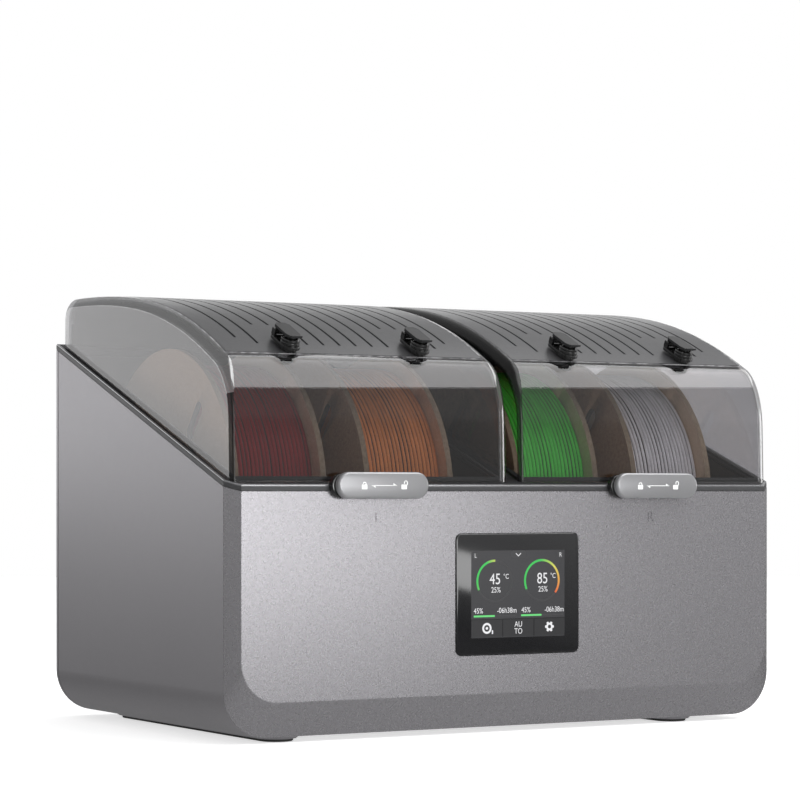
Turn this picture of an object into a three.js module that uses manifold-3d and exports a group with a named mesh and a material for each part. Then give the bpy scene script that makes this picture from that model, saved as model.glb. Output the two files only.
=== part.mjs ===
// Filament dryer box for four spools: two heated chambers side by side, each under its own hinged clear
// lid with a ribbed cover, two filament outlets, a sliding latch, a seal, a heater, a fan and two spools on
// rollers. Units are millimetres, +X right, +Y to the rear, +Z up.
import * as THREE from "three";
import { mergeVertices } from "three/addons/utils/BufferGeometryUtils.js";
import { ConvexGeometry } from "three/addons/geometries/ConvexGeometry.js";
import Module from "manifold-3d";

// ---- Driving dimensions -----------------------------------------------------------------------------
// Inside the assembly group, y is measured behind the seam between the wrap and the front bezel, and z
// above the level of the front rim. The whole object is centred on its origin, standing on z = 0.
const WIDTH = 427;
const WRAP_DEPTH = 264;
const BEZEL_DEPTH = 8.4;
const BODY_BOTTOM = -156;
const FOOT_BOTTOM = -159.6;
const CORNER_R = 30;
const WALL = 3;
const GAP = 0.3;

// The side walls' top edge climbs from front to rear.
const RAIL_START = 2.7;
const RAIL_SLOPE = 0.369;
const railZ = (y) => RAIL_START + RAIL_SLOPE * y;

// Front face: flat panel inside a chamfer at the sides and a taller bevel along the bottom.
const PANEL_BOTTOM = -133.5;
const PANEL_CORNER_R = 26;

const CHAMBER_X = 107.25;
const LID_HALF = 103.25;
const LID_SKIN = 2.5;
const LID_EDGE_R = 5;
const LID_LIFT = 4.6;
const LID_STEPS = 7;
const COVER_T = 4.2;
const COVER_FRONT = 16;
const COVER_LEDGE = 5;
const GROOVE_DEPTH = 1.2;
const CROWN_Z = 135.5;
const TRIM_T = 3.9;
const TUB_HALF = 98;
const TUB_SKIN = 2.5;
const TUB_R = 118;
const MOUTH_FRONT = 6;

const SPOOL = { y: 132.6, z: -4.6, r: 100, half: 34, pitch: 96.8, flange: 4, bore: 26.5, tube: 31 };
const WINDING_R = 93;
const ROLLER_R = 7;
const ROLLER_ANGLE = (40 * Math.PI) / 180;
const ROLLER_SHAFT_R = 2.5;

const PIVOT = { y: 268.6, z: 103, r: 4 };
const PIN_R = 1.8;
const HINGE_X = 60;

const LATCH = { z: 3.4, front: -18, back: -13.5, half: 33.5, height: 17.2, travel: 8 };
const LATCH_BASE = { half: 32, height: 14.6, window: 14 };
// Two studs behind each latch run in slots of its base.
const STUD = { xs: [-18.5, 28.5], half: 1.2, bottom: -1.7, top: 0.5 };

const OUTLET_Y = 27;
const OUTLET_Z = 94.6;
const OUTLET_TILT = (25 * Math.PI) / 180;
const OUTLET_BORE_R = 4;
const OUTLET_RING_Y = -6;
const OUTLET_HOLE_R = 5.7;
// The cap's pin as (y, z) in the outlet's own tilted frame.
const CAP_PIN = [9.5, 5.4];

const DISPLAY = { z: -68.1, w: 96.4, h: 79.8, r: 4.5 };
const FOOT_X = [-168.5, 140.5];
const FOOT = { front: 4, rear: 235, half: 11 };

const FAN = { z: -115, size: 50, y: 246, t: 12, bore: 23.5, hub: 11 };
const INLET = { x: -26, z: -112 };
const SWITCH = { x: 26, z: -112 };

// The overall depth runs from the latch faces to the hinge knuckles.
const REARMOST = PIVOT.y + PIVOT.r;
const SEAM_Y = -(LATCH.front + REARMOST) / 2;

// ---- Materials --------------------------------------------------------------------------------------
const paint = (color, roughness, metalness = 0, opacity = 1) =>
  new THREE.MeshStandardMaterial({ color, roughness, metalness, opacity, transparent: opacity < 1 });
const MATERIAL = {
  body: paint(0x8f8e93, 0.42, 0.55),
  trim: paint(0x3c3c3f, 0.5),
  clear: paint(0x9c9ca0, 0.08, 0, 0.35),
  cover: paint(0x626266, 0.38, 0.2),
  black: paint(0x121214, 0.35),
  rubber: paint(0x18181a, 0.85),
  tub: paint(0x2b2b2d, 0.6),
  latch: paint(0xc6c5c8, 0.35, 0.3),
  glass: paint(0x08080a, 0.06),
  board: paint(0x1f4a33, 0.5),
  steel: paint(0xa8a8aa, 0.3, 1),
  aluminium: paint(0xb5b6b8, 0.45, 1),
  card: paint(0x6f5f4c, 0.9),
};
const FILAMENT_COLOURS = [0x59262d, 0x9a5f41, 0x2f8a36, 0x9a999d];

// ---- Solids -----------------------------------------------------------------------------------------
const wasm = await Module();
wasm.setup();

// A closed three.js geometry as a solid that can be joined and cut.
function solid(geometry) {
  const bare = geometry.clone();
  bare.deleteAttribute("normal");
  bare.deleteAttribute("uv");
  const merged = mergeVertices(bare, 1e-4);
  const mesh = new wasm.Mesh({
    numProp: 3,
    vertProperties: new Float32Array(merged.attributes.position.array),
    triVerts: new Uint32Array(merged.index.array),
  });
  return new wasm.Manifold(mesh);
}

const join = (first, ...others) => others.reduce((sum, next) => sum.add(next), first);
const cut = (first, ...others) => others.reduce((rest, next) => rest.subtract(next), first);

// The surface of a solid as a three.js geometry.
function surface(body) {
  const mesh = body.getMesh();
  const geometry = new THREE.BufferGeometry();
  geometry.setAttribute("position", new THREE.BufferAttribute(new Float32Array(mesh.vertProperties), 3));
  geometry.setIndex(new THREE.BufferAttribute(new Uint32Array(mesh.triVerts), 1));
  const faceted = geometry.toNonIndexed();
  faceted.computeVertexNormals();
  return faceted;
}

function box(x0, x1, y0, y1, z0, z1) {
  const geometry = new THREE.BoxGeometry(x1 - x0, y1 - y0, z1 - z0);
  return solid(geometry.translate((x0 + x1) / 2, (y0 + y1) / 2, (z0 + z1) / 2));
}

// Outlines are extruded along an axis; an edge radius rounds the rims of both ends.
function extrude(shape, length, edge, steps) {
  const rounded = {
    bevelEnabled: true,
    bevelThickness: edge,
    bevelSize: edge,
    bevelOffset: -edge,
    bevelSegments: 2,
  };
  const settings = { depth: length - 2 * edge, curveSegments: steps, bevelEnabled: false };
  const geometry = new THREE.ExtrudeGeometry(shape, edge > 0 ? { ...settings, ...rounded } : settings);
  return geometry.translate(0, 0, edge);
}

const AXES = {
  x: new THREE.Matrix4().makeBasis(
    new THREE.Vector3(0, 1, 0),
    new THREE.Vector3(0, 0, 1),
    new THREE.Vector3(1, 0, 0),
  ),
  y: new THREE.Matrix4().makeBasis(
    new THREE.Vector3(1, 0, 0),
    new THREE.Vector3(0, 0, 1),
    new THREE.Vector3(0, -1, 0),
  ),
};

// A (y, z) outline from x0 to x1.
const alongX = (shape, x0, x1, edge = 0, steps = 8) =>
  solid(extrude(shape, x1 - x0, edge, steps).applyMatrix4(AXES.x).translate(x0, 0, 0));
// An (x, z) outline from y0 to y1.
const alongY = (shape, y0, y1, edge = 0, steps = 8) =>
  solid(extrude(shape, y1 - y0, edge, steps).applyMatrix4(AXES.y).translate(0, y1, 0));
// An (x, y) outline from z0 to z1.
const alongZ = (shape, z0, z1, edge = 0, steps = 8) =>
  solid(extrude(shape, z1 - z0, edge, steps).translate(0, 0, z0));

function polygon(points) {
  return new THREE.Shape(points.map(([a, b]) => new THREE.Vector2(a, b)));
}

// A rectangle of half sizes (w, h) with round corners, centred on (cx, cy).
function roundRect(w, h, r, cx = 0, cy = 0) {
  const shape = new THREE.Shape();
  shape.absarc(cx + w - r, cy - h + r, r, -Math.PI / 2, 0, false);
  shape.absarc(cx + w - r, cy + h - r, r, 0, Math.PI / 2, false);
  shape.absarc(cx - w + r, cy + h - r, r, Math.PI / 2, Math.PI, false);
  shape.absarc(cx - w + r, cy - h + r, r, Math.PI, 1.5 * Math.PI, false);
  return shape;
}

// A rectangle of half sizes (w, h) whose shorter ends are half circles.
function pill(w, h, cx = 0, cy = 0) {
  const shape = new THREE.Shape();
  const r = Math.min(w, h);
  const turn = w > h ? 0 : Math.PI / 2;
  const reach = Math.abs(w - h);
  const dx = reach * Math.cos(turn);
  const dy = reach * Math.sin(turn);
  shape.absarc(cx + dx, cy + dy, r, turn - Math.PI / 2, turn + Math.PI / 2, false);
  shape.absarc(cx - dx, cy - dy, r, turn + Math.PI / 2, turn + 1.5 * Math.PI, false);
  return shape;
}

// A round bar along one axis, from one end to the other.
function rod(axis, r, from, to, centre, sides = 16) {
  const geometry = new THREE.CylinderGeometry(r, r, to - from, sides);
  const middle = (from + to) / 2;
  if (axis === "x") return solid(geometry.rotateZ(-Math.PI / 2).translate(middle, centre[0], centre[1]));
  if (axis === "y") return solid(geometry.translate(centre[0], middle, centre[1]));
  return solid(geometry.rotateX(Math.PI / 2).translate(centre[0], centre[1], middle));
}

// A turned piece about the X axis, from (radius, x) points that end on the axis or close on themselves.
function turned(points, sides) {
  const profile = points.map(([r, x]) => new THREE.Vector2(r, x));
  return solid(new THREE.LatheGeometry(profile, sides).rotateZ(-Math.PI / 2));
}

// The slab between two heights above the sloping top edge of the walls, over the whole plan.
function railSlab(low, high) {
  const y0 = -40;
  const y1 = WRAP_DEPTH + 40;
  const outline = [
    [y0, railZ(y0) + low],
    [y1, railZ(y1) + low],
    [y1, railZ(y1) + high],
    [y0, railZ(y0) + high],
  ];
  return alongX(polygon(outline), -WIDTH, WIDTH);
}

// ---- Body -------------------------------------------------------------------------------------------
const HALF = WIDTH / 2;
const ABOVE = 200;

// The body's cross-section: straight sides, rounded lower corners, open above.
function bodySection(inset, bottom, r) {
  const shape = new THREE.Shape();
  const side = HALF - inset;
  shape.moveTo(side, ABOVE);
  shape.lineTo(-side, ABOVE);
  shape.absarc(-side + r, bottom + r, r, Math.PI, 1.5 * Math.PI, false);
  shape.absarc(side - r, bottom + r, r, -Math.PI / 2, 0, false);
  return shape;
}

function footStrip(x, half, margin, z0, z1) {
  const middle = (FOOT.front + FOOT.rear) / 2;
  const length = (FOOT.rear - FOOT.front) / 2 + margin;
  return alongZ(pill(half, length, x, middle), z0, z1, 0, 7);
}

function outerShell() {
  const outer = alongY(bodySection(0, BODY_BOTTOM, CORNER_R), 0, WRAP_DEPTH - WALL - GAP);
  const inner = alongY(bodySection(WALL, BODY_BOTTOM + WALL, CORNER_R - WALL), -10, WRAP_DEPTH + 10);
  const plinths = FOOT_X.map((x) => footStrip(x, FOOT.half + 3, 3, FOOT_BOTTOM + 1.6, BODY_BOTTOM + 1));
  return cut(join(outer, ...plinths), inner, railSlab(0, 2 * ABOVE));
}

// The front outline swept from the seam to the flat panel, with all its edges chamfered.
function bezelBlock(inset) {
  const points = [];
  const rim = (shape, y) => {
    for (const p of shape.getPoints(7)) points.push(new THREE.Vector3(p.x, y, Math.min(p.y, 20)));
  };
  rim(bodySection(inset, BODY_BOTTOM + inset, CORNER_R - inset), 0);
  rim(bodySection(BEZEL_DEPTH + inset, PANEL_BOTTOM + inset, PANEL_CORNER_R - inset), -BEZEL_DEPTH + inset);
  return solid(new ConvexGeometry(points));
}

const displayHole = (clearance, y0, y1) =>
  alongY(
    roundRect(DISPLAY.w / 2 + clearance, DISPLAY.h / 2 + clearance, DISPLAY.r + clearance, 0, DISPLAY.z),
    y0,
    y1,
    0,
    4,
  );

function frontBezel() {
  const shell = cut(bezelBlock(0), bezelBlock(WALL), railSlab(0, ABOVE));
  return cut(shell, displayHole(GAP, -20, 20)).trimByPlane([0, -1, 0], GAP);
}

function knuckle(x, half) {
  const arm = [
    [PIVOT.y - 5.6, PIVOT.z - 13],
    [PIVOT.y, PIVOT.z - 6],
    [PIVOT.y + 3, PIVOT.z - 2],
    [PIVOT.y, PIVOT.z],
    [PIVOT.y - 3.4, PIVOT.z - 1.4],
    [PIVOT.y - 5.6, PIVOT.z - 4],
  ];
  return join(
    rod("x", PIVOT.r, x - half, x + half, [PIVOT.y, PIVOT.z], 14),
    alongX(polygon(arm), x - half, x + half),
  );
}

const pinBore = (r) => rod("x", r, -WIDTH, WIDTH, [PIVOT.y, PIVOT.z], 10);

function rearPanel() {
  const y0 = WRAP_DEPTH - WALL;
  const plate = cut(alongY(bodySection(0, BODY_BOTTOM, CORNER_R), y0, WRAP_DEPTH), railSlab(0, 2 * ABOVE));
  const openings = [];
  for (const side of [-1, 1]) {
    for (let row = -3; row <= 3; row++) {
      const z = FAN.z + row * 6;
      const x = side * CHAMBER_X;
      openings.push(box(x - 20, x + 20, y0 - 5, WRAP_DEPTH + 5, z - 1.5, z + 1.5));
    }
  }
  openings.push(box(INLET.x - 14, INLET.x + 14, y0 - 5, WRAP_DEPTH + 5, INLET.z - 10.5, INLET.z + 10.5));
  openings.push(box(SWITCH.x - 8, SWITCH.x + 8, y0 - 5, WRAP_DEPTH + 5, SWITCH.z - 11, SWITCH.z + 11));
  const stations = [];
  for (const side of [-1, 1]) {
    for (const end of [-1, 1]) stations.push(knuckle(side * CHAMBER_X + end * HINGE_X, 6));
  }
  return cut(join(plate, ...stations), pinBore(PIN_R + GAP), ...openings);
}

// The dark deck that lies on the walls and frames both chambers' mouths.
function rimTrim() {
  const corner = BEZEL_DEPTH;
  const plan = polygon([
    [-HALF, 0],
    [-HALF + corner, -corner],
    [HALF - corner, -corner],
    [HALF, 0],
    [HALF, WRAP_DEPTH],
    [-HALF, WRAP_DEPTH],
  ]);
  const deck = alongZ(plan, -ABOVE, ABOVE).intersect(railSlab(GAP, TRIM_T));
  const mouths = [-1, 1].map((side) => {
    const x = side * CHAMBER_X;
    return box(x - TUB_HALF, x + TUB_HALF, MOUTH_FRONT, SPOOL.y + TUB_R, -ABOVE, ABOVE);
  });
  return cut(deck, ...mouths);
}

function displayGlass() {
  const plate = roundRect(DISPLAY.w / 2, DISPLAY.h / 2, DISPLAY.r, 0, DISPLAY.z);
  return alongY(plate, -BEZEL_DEPTH - 0.7, -BEZEL_DEPTH + 2.6, 0, 4);
}

function displayModule() {
  const frame = box(-45, 45, -5.4, 1, DISPLAY.z - 36, DISPLAY.z + 36);
  return join(frame, box(-20, 20, 0.9, 3, DISPLAY.z - 34, DISPLAY.z - 24));
}

function controlBoard() {
  const plate = box(-50, 50, 6, 7.6, -130, -60);
  const parts = [
    box(-44, -26, 7.5, 14, -128, -120),
    box(-20, -2, 7.5, 14, -128, -120),
    box(6, 24, 7.5, 14, -128, -120),
    box(-10, 8, 7.5, 10, -106, -88),
    box(24, 40, 7.5, 12, -110, -96),
  ];
  return join(plate, ...parts);
}

function powerSupply() {
  const can = box(-48, 48, 70, 200, BODY_BOTTOM + WALL + GAP, -127);
  const terminals = box(-30, 30, 199.9, 206, BODY_BOTTOM + WALL + GAP, -142);
  return join(can, terminals);
}

function powerInlet() {
  const y = WRAP_DEPTH;
  const flange = alongY(roundRect(16.5, 13, 3, INLET.x, INLET.z), y + GAP, y + 2.3, 0, 3);
  const barrel = box(INLET.x - 13.6, INLET.x + 13.6, y - 22, y + 0.5, INLET.z - 10.1, INLET.z + 10.1);
  const recess = box(INLET.x - 12, INLET.x + 12, y - 17, y + 5, INLET.z - 8.4, INLET.z + 8.4);
  const pins = [
    [-7, -1.5],
    [7, -1.5],
    [0, 3.5],
  ].map(([dx, dz]) => {
    const x = INLET.x + dx;
    const z = INLET.z + dz;
    return box(x - 1, x + 1, y - 17.5, y - 1, z - 2, z + 2);
  });
  return join(cut(join(flange, barrel), recess), ...pins);
}

function switchFrame() {
  const y = WRAP_DEPTH;
  const flange = alongY(roundRect(10.5, 13.5, 2, SWITCH.x, SWITCH.z), y + GAP, y + 1.8, 0, 3);
  const barrel = box(SWITCH.x - 7.6, SWITCH.x + 7.6, y - 18, y + 0.5, SWITCH.z - 10.6, SWITCH.z + 10.6);
  const well = box(SWITCH.x - 6.2, SWITCH.x + 6.2, y - 12, y + 5, SWITCH.z - 9.4, SWITCH.z + 9.4);
  return cut(join(flange, barrel), well);
}

// Rocker tilted to its off side, drawn about its pivot.
function switchRocker() {
  const half = 5.8;
  const outline = polygon([
    [-8, -2.2],
    [-3.6, -3.4],
    [-3.6, 3.4],
    [-8, 2.2],
  ]);
  const face = polygon([
    [-3.7, -8.6],
    [1.4, -8.6],
    [0.4, 0],
    [1.4, 8.6],
    [-3.7, 8.6],
  ]);
  return join(alongX(outline, -half, half), alongX(face, -half, half));
}

// ---- Chamber pieces, drawn about the chamber's centre plane -----------------------------------------
// The tub's side view: flat walls and floor that all touch a circle round the spools' axis, except for the
// front wall, which lies a little further out.
function tubSection(offset) {
  const r = TUB_R + offset;
  const front = MOUTH_FRONT - offset;
  const slope = r * Math.SQRT2;
  return polygon([
    [front, ABOVE],
    [front, SPOOL.z - slope + (SPOOL.y - front)],
    [SPOOL.y - slope + r, SPOOL.z - r],
    [SPOOL.y + slope - r, SPOOL.z - r],
    [SPOOL.y + r, SPOOL.z - slope + r],
    [SPOOL.y + r, ABOVE],
  ]);
}

// A block between two sides that carries the ends of the rollers' shafts, standing on the sloping floor.
function rollerBlock(x0, x1, side) {
  const reach = SPOOL.r + ROLLER_R + GAP;
  const block = new THREE.BoxGeometry(x1 - x0, 10, 17.5).translate((x0 + x1) / 2, 0, -(reach + 4));
  block.rotateX(side * ROLLER_ANGLE);
  return solid(block.translate(0, SPOOL.y, SPOOL.z));
}

function rollerCentre(side) {
  const reach = SPOOL.r + ROLLER_R + GAP;
  return [
    SPOOL.y + side * reach * Math.sin(ROLLER_ANGLE),
    SPOOL.z - reach * Math.cos(ROLLER_ANGLE),
  ];
}

function chamberTub() {
  const outer = alongX(tubSection(TUB_SKIN), -TUB_HALF - TUB_SKIN, TUB_HALF + TUB_SKIN);
  const inner = alongX(tubSection(0), -TUB_HALF, TUB_HALF);
  const innerSide = SPOOL.pitch / 2 - SPOOL.half - 4;
  const outerSide = SPOOL.pitch / 2 + SPOOL.half + 4;
  const blocks = [];
  const bores = [];
  for (const side of [-1, 1]) {
    bores.push(rod("x", ROLLER_SHAFT_R + GAP, -TUB_HALF + 2, TUB_HALF - 2, rollerCentre(side), 8));
    blocks.push(rollerBlock(-innerSide, innerSide, side));
    blocks.push(rollerBlock(-TUB_HALF - 1, -outerSide, side));
    blocks.push(rollerBlock(outerSide, TUB_HALF + 1, side));
  }
  const vents = [-84, -80, -76, -72].map((z) => box(-18, 18, 214, 300, z - 0.9, z + 0.9));
  return cut(join(cut(outer, inner), ...blocks), railSlab(0, 2 * ABOVE), ...vents, ...bores);
}

function roller() {
  const end = SPOOL.half + 8.5;
  const face = SPOOL.half + 3;
  const profile = [
    [0, -end],
    [ROLLER_SHAFT_R, -end],
    [ROLLER_SHAFT_R, -face],
    [ROLLER_R, -face],
    [ROLLER_R, face],
    [ROLLER_SHAFT_R, face],
    [ROLLER_SHAFT_R, end],
    [0, end],
  ];
  return turned(profile, 10);
}

function spoolCard() {
  const { r, half, flange, bore, tube } = SPOOL;
  const profile = [
    [bore, -half],
    [r, -half],
    [r, -half + flange],
    [tube, -half + flange],
    [tube, half - flange],
    [r, half - flange],
    [r, half],
    [bore, half],
    [bore, -half],
  ];
  const windows = [0, 1, 2].map((k) => {
    const slot = extrude(pill(5, 15, 66, 0), 4 * half, 0, 3);
    slot.rotateZ((k * 2 * Math.PI) / 3 + Math.PI / 6);
    return solid(slot.applyMatrix4(AXES.x).translate(-2 * half, 0, 0));
  });
  return cut(turned(profile, 24), ...windows);
}

function filamentWinding() {
  const inner = SPOOL.tube + GAP;
  const half = SPOOL.half - SPOOL.flange - GAP;
  const profile = [
    [inner, -half],
    [WINDING_R, -half],
    [WINDING_R, half],
    [inner, half],
    [inner, -half],
  ];
  return turned(profile, 24);
}

function lidSeal() {
  const half = LID_HALF - LID_SKIN - 0.4;
  const front = -1.3;
  const rear = 257.6;
  const ring = cut(
    box(-half, half, front, rear, -ABOVE, ABOVE),
    box(-TUB_HALF + 1, TUB_HALF - 1, front + 3.4, rear - 3.4, -2 * ABOVE, 2 * ABOVE),
  );
  return ring.intersect(railSlab(TRIM_T + GAP, 9));
}

// The lid's outer side view, from the front edge over the crown to the rear edge.
function lidOutline() {
  const shape = new THREE.Shape();
  shape.moveTo(-5, railZ(-5) + LID_LIFT);
  shape.lineTo(261, railZ(261) + LID_LIFT);
  shape.lineTo(260.5, 120);
  shape.absarc(245, 120, 15.5, 0, Math.PI / 2, false);
  shape.bezierCurveTo(133, CROWN_Z, 74, 119.5, 14, 86.5);
  shape.bezierCurveTo(4, 80.5, -3.5, 64, -4, 45);
  return shape;
}

// The space that the ribbed cover takes from the lid, starting at its front edge.
function coverZone(front, depth) {
  const shape = new THREE.Shape();
  const crown = CROWN_Z - depth;
  shape.moveTo(300, 118);
  shape.lineTo(300, ABOVE);
  shape.lineTo(front, ABOVE);
  shape.lineTo(front, 87 - depth);
  shape.bezierCurveTo(75.5, 119.5 - depth, 133.6, crown, 245, crown);
  shape.absarc(245, 120, 15.5 - depth, Math.PI / 2, 0, true);
  shape.lineTo(260.5 - depth, 118);
  return alongX(shape, -2 * LID_HALF, 2 * LID_HALF, 0, LID_STEPS);
}

function lidCavity() {
  const shape = new THREE.Shape();
  const crown = CROWN_Z - COVER_T - LID_SKIN;
  shape.moveTo(-2.4, -60);
  shape.lineTo(258, -60);
  shape.lineTo(258, 112);
  shape.lineTo(253.8, 115);
  shape.absarc(245, 120, 8.8, 0, Math.PI / 2, false);
  shape.bezierCurveTo(134, crown, 77, 112.8, 17, 80);
  shape.bezierCurveTo(6.5, 76, -0.9, 63, -1.5, 45);
  const half = LID_HALF - LID_SKIN;
  return alongX(shape, -half, half, 0, LID_STEPS);
}

function lidEar(x) {
  const arm = [
    [PIVOT.y - 9.1, PIVOT.z + 2],
    [PIVOT.y - 3.4, PIVOT.z + 2],
    [PIVOT.y, PIVOT.z],
    [PIVOT.y + 2.9, PIVOT.z + 2.6],
    [PIVOT.y, PIVOT.z + 4],
    [PIVOT.y - 9.1, PIVOT.z + 9],
  ];
  return join(
    rod("x", PIVOT.r, x - 4, x + 4, [PIVOT.y, PIVOT.z], 14),
    alongX(polygon(arm), x - 4, x + 4),
  );
}

// Places a piece drawn about an outlet's seat onto the sloping cover.
const outletFrame = (x) =>
  new THREE.Matrix4().makeRotationX(OUTLET_TILT).setPosition((x * SPOOL.pitch) / 2, OUTLET_Y, OUTLET_Z);

function outletHole(x) {
  const hole = new THREE.CylinderGeometry(OUTLET_HOLE_R, OUTLET_HOLE_R, 40, 12).rotateX(Math.PI / 2);
  return solid(hole.translate(0, OUTLET_RING_Y, 0).applyMatrix4(outletFrame(x)));
}

const lidBlank = () => alongX(lidOutline(), -LID_HALF, LID_HALF, LID_EDGE_R, LID_STEPS);

// The cover closes a window in the lid and rests on the ledge round it.
function lidShell() {
  const ears = [];
  for (const end of [-1, 1]) {
    for (const side of [-1, 1]) ears.push(lidEar(end * HINGE_X + side * 10.4));
  }
  const hook = box(-10, -1, -10.8, -4.5, 5.6, 8.2);
  const half = LID_HALF - LID_SKIN - COVER_LEDGE;
  const window = box(-half, half, COVER_FRONT + COVER_LEDGE, 245 - COVER_LEDGE, 60, ABOVE);
  const shell = cut(lidBlank(), lidCavity(), coverZone(COVER_FRONT, COVER_T), window);
  const holes = [-1, 1].map((side) => outletHole(side));
  return cut(join(shell, hook, ...ears), pinBore(PIN_R + GAP), ...holes);
}

// The cover's grooves run front to rear; those behind an outlet start further back.
function lidCover() {
  const plate = lidBlank().intersect(coverZone(COVER_FRONT + GAP, COVER_T - GAP));
  const strips = [];
  const pitch = SPOOL.pitch / 8;
  for (let k = 0; k < 14; k++) {
    const x = (k - 6.5) * pitch;
    const behindOutlet = Math.abs(Math.abs(x) - SPOOL.pitch / 2) < pitch;
    strips.push(box(x - 0.8, x + 0.8, behindOutlet ? 62 : 24, 238, 0, ABOVE));
  }
  const grooves = join(...strips).intersect(coverZone(COVER_FRONT, GROOVE_DEPTH));
  return cut(plate, grooves, ...[-1, 1].map((side) => outletHole(side)));
}

function outletCollar() {
  const plate = alongZ(pill(6.5, 14), 0.8, 3, 0, 6);
  const ring = rod("z", 6.4, 2.9, 7, [0, OUTLET_RING_Y], 12);
  const neck = rod("z", OUTLET_HOLE_R - 0.4, -9, 1, [0, OUTLET_RING_Y], 12);
  const lugs = [-1, 1].map((side) => box(side * 4.4 - 0.9, side * 4.4 + 0.9, 6.8, 11.6, 2.9, 7.4));
  const bore = rod("z", OUTLET_BORE_R, -20, 20, [0, OUTLET_RING_Y], 12);
  return cut(join(plate, ring, neck, ...lugs), bore, rod("x", 1.5, -9, 9, CAP_PIN, 8));
}

// The flip cap, drawn in the collar's frame.
function outletCap() {
  const paddle = polygon([
    [-5.3, 8.6],
    [-3.2, 11.8],
    [3.2, 11.8],
    [5.3, 8.6],
    [5.3, -8],
    [3.6, -11.5],
    [-3.6, -11.5],
    [-5.3, -8],
  ]);
  const pad = alongZ(paddle, 8.6, 10.4);
  const lip = new THREE.BoxGeometry(9, 4.2, 1.4).rotateX(-0.5).translate(0, -12.4, 10.3);
  const foot = rod("x", 2.1, -3.1, 3.1, CAP_PIN, 16);
  const leg = box(-3.1, 3.1, CAP_PIN[0] - 2, CAP_PIN[0] + 2, CAP_PIN[1], 8.8);
  const stopper = rod("z", OUTLET_BORE_R - 0.4, 4.6, 8.8, [0, OUTLET_RING_Y], 12);
  const pin = rod("x", 1.2, -5.2, 5.2, CAP_PIN, 8);
  return join(pad, solid(lip), foot, leg, stopper, pin);
}

function latchBase() {
  const outline = pill(LATCH_BASE.half, LATCH_BASE.height / 2, 0, LATCH.z);
  const plate = alongY(outline, LATCH.back + GAP, -BEZEL_DEPTH - GAP, 0, 8);
  const window = box(-LATCH_BASE.window, LATCH_BASE.window, -20, 0, LATCH.z, 20);
  const clearance = STUD.half + GAP;
  const slots = STUD.xs.map((x) =>
    box(x - LATCH.travel - clearance, x + clearance, -14, -8, STUD.bottom - GAP, STUD.top + GAP),
  );
  return cut(plate, window, ...slots);
}

function latchSlider() {
  const outline = pill(LATCH.half, LATCH.height / 2, 0, LATCH.z);
  const button = alongY(outline, LATCH.front, LATCH.back, 1.3, 7);
  const finger = box(0, 9, -14.6, -9.6, 9.4, 11.2);
  const studs = STUD.xs.map((x) => box(x - STUD.half, x + STUD.half, -14.6, -10, STUD.bottom, STUD.top));
  return join(button, finger, ...studs);
}

function heater() {
  const z = FAN.z;
  const frame = cut(box(-30, 30, 223, 241, z - 21, z + 17), box(-26, 26, 200, 260, z - 17, z + 13));
  const fins = [];
  for (let k = -3; k <= 3; k++) fins.push(box(k * 6.5 - 0.7, k * 6.5 + 0.7, 224, 240, z - 18, z + 14));
  return join(frame, ...fins);
}

function fanFrame() {
  const half = FAN.size / 2;
  const housing = cut(
    box(-half, half, FAN.y, FAN.y + FAN.t, FAN.z - half, FAN.z + half),
    rod("y", FAN.bore, FAN.y - 5, FAN.y + FAN.t + 5, [0, FAN.z], 20),
  );
  const y1 = FAN.y + FAN.t;
  const boss = rod("y", FAN.hub, y1 - 2, y1, [0, FAN.z], 14);
  const spokes = [0, 1, 2].map((k) => {
    const bar = new THREE.BoxGeometry(2.4, 2, FAN.bore + 1).translate(0, 0, FAN.bore / 2);
    bar.rotateY((k * 2 * Math.PI) / 3);
    return solid(bar.translate(0, y1 - 1, FAN.z));
  });
  return join(housing, boss, ...spokes);
}

// Rotor drawn about its own centre, its axis along y.
function fanRotor() {
  const hub = rod("y", FAN.hub, -4.4, 4.4, [0, 0], 14);
  const blades = [0, 1, 2, 3, 4].map((k) => {
    const blade = new THREE.BoxGeometry(9, 1.2, 13).rotateZ(0.6).translate(0, 0, FAN.hub + 5.2);
    blade.rotateY((k * 2 * Math.PI) / 5);
    return solid(blade);
  });
  return join(hub, ...blades);
}

function humiditySensor() {
  const y = SPOOL.y + TUB_R;
  return cut(box(-8, 8, y - 4.3, y - GAP, 40, 58), box(-5, 5, y - 8, y - 2.6, 44, 54));
}

// ---- Assembly ---------------------------------------------------------------------------------------
const root = new THREE.Group();
const assembly = new THREE.Group();
assembly.position.set(0, SEAM_Y, -FOOT_BOTTOM);
root.add(assembly);

function place(parent, name, body, material, position = [0, 0, 0]) {
  const mesh = new THREE.Mesh(surface(body), material);
  mesh.name = name;
  mesh.position.set(...position);
  parent.add(mesh);
  return mesh;
}

place(assembly, "outer_shell", outerShell(), MATERIAL.body);
place(assembly, "front_bezel", frontBezel(), MATERIAL.body);
place(assembly, "rear_panel", rearPanel(), MATERIAL.body);
place(assembly, "rim_trim", rimTrim(), MATERIAL.trim);
place(assembly, "display_glass", displayGlass(), MATERIAL.glass);
place(assembly, "display_module", displayModule(), MATERIAL.black);
place(assembly, "control_board", controlBoard(), MATERIAL.board);
place(assembly, "power_supply", powerSupply(), MATERIAL.steel);
place(assembly, "power_inlet", powerInlet(), MATERIAL.black);
place(assembly, "switch_frame", switchFrame(), MATERIAL.black);

const ROCKER_TILT = (8 * Math.PI) / 180;
const rocker = place(assembly, "power_switch", switchRocker(), MATERIAL.black, [
  SWITCH.x,
  WRAP_DEPTH - 1.2,
  SWITCH.z,
]);
rocker.rotation.x = ROCKER_TILT;

FOOT_X.forEach((x, k) => {
  const pad = footStrip(x, FOOT.half, 0, FOOT_BOTTOM, FOOT_BOTTOM + 1.3);
  place(assembly, k === 0 ? "foot_left" : "foot_right", pad, MATERIAL.rubber);
});

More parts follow.
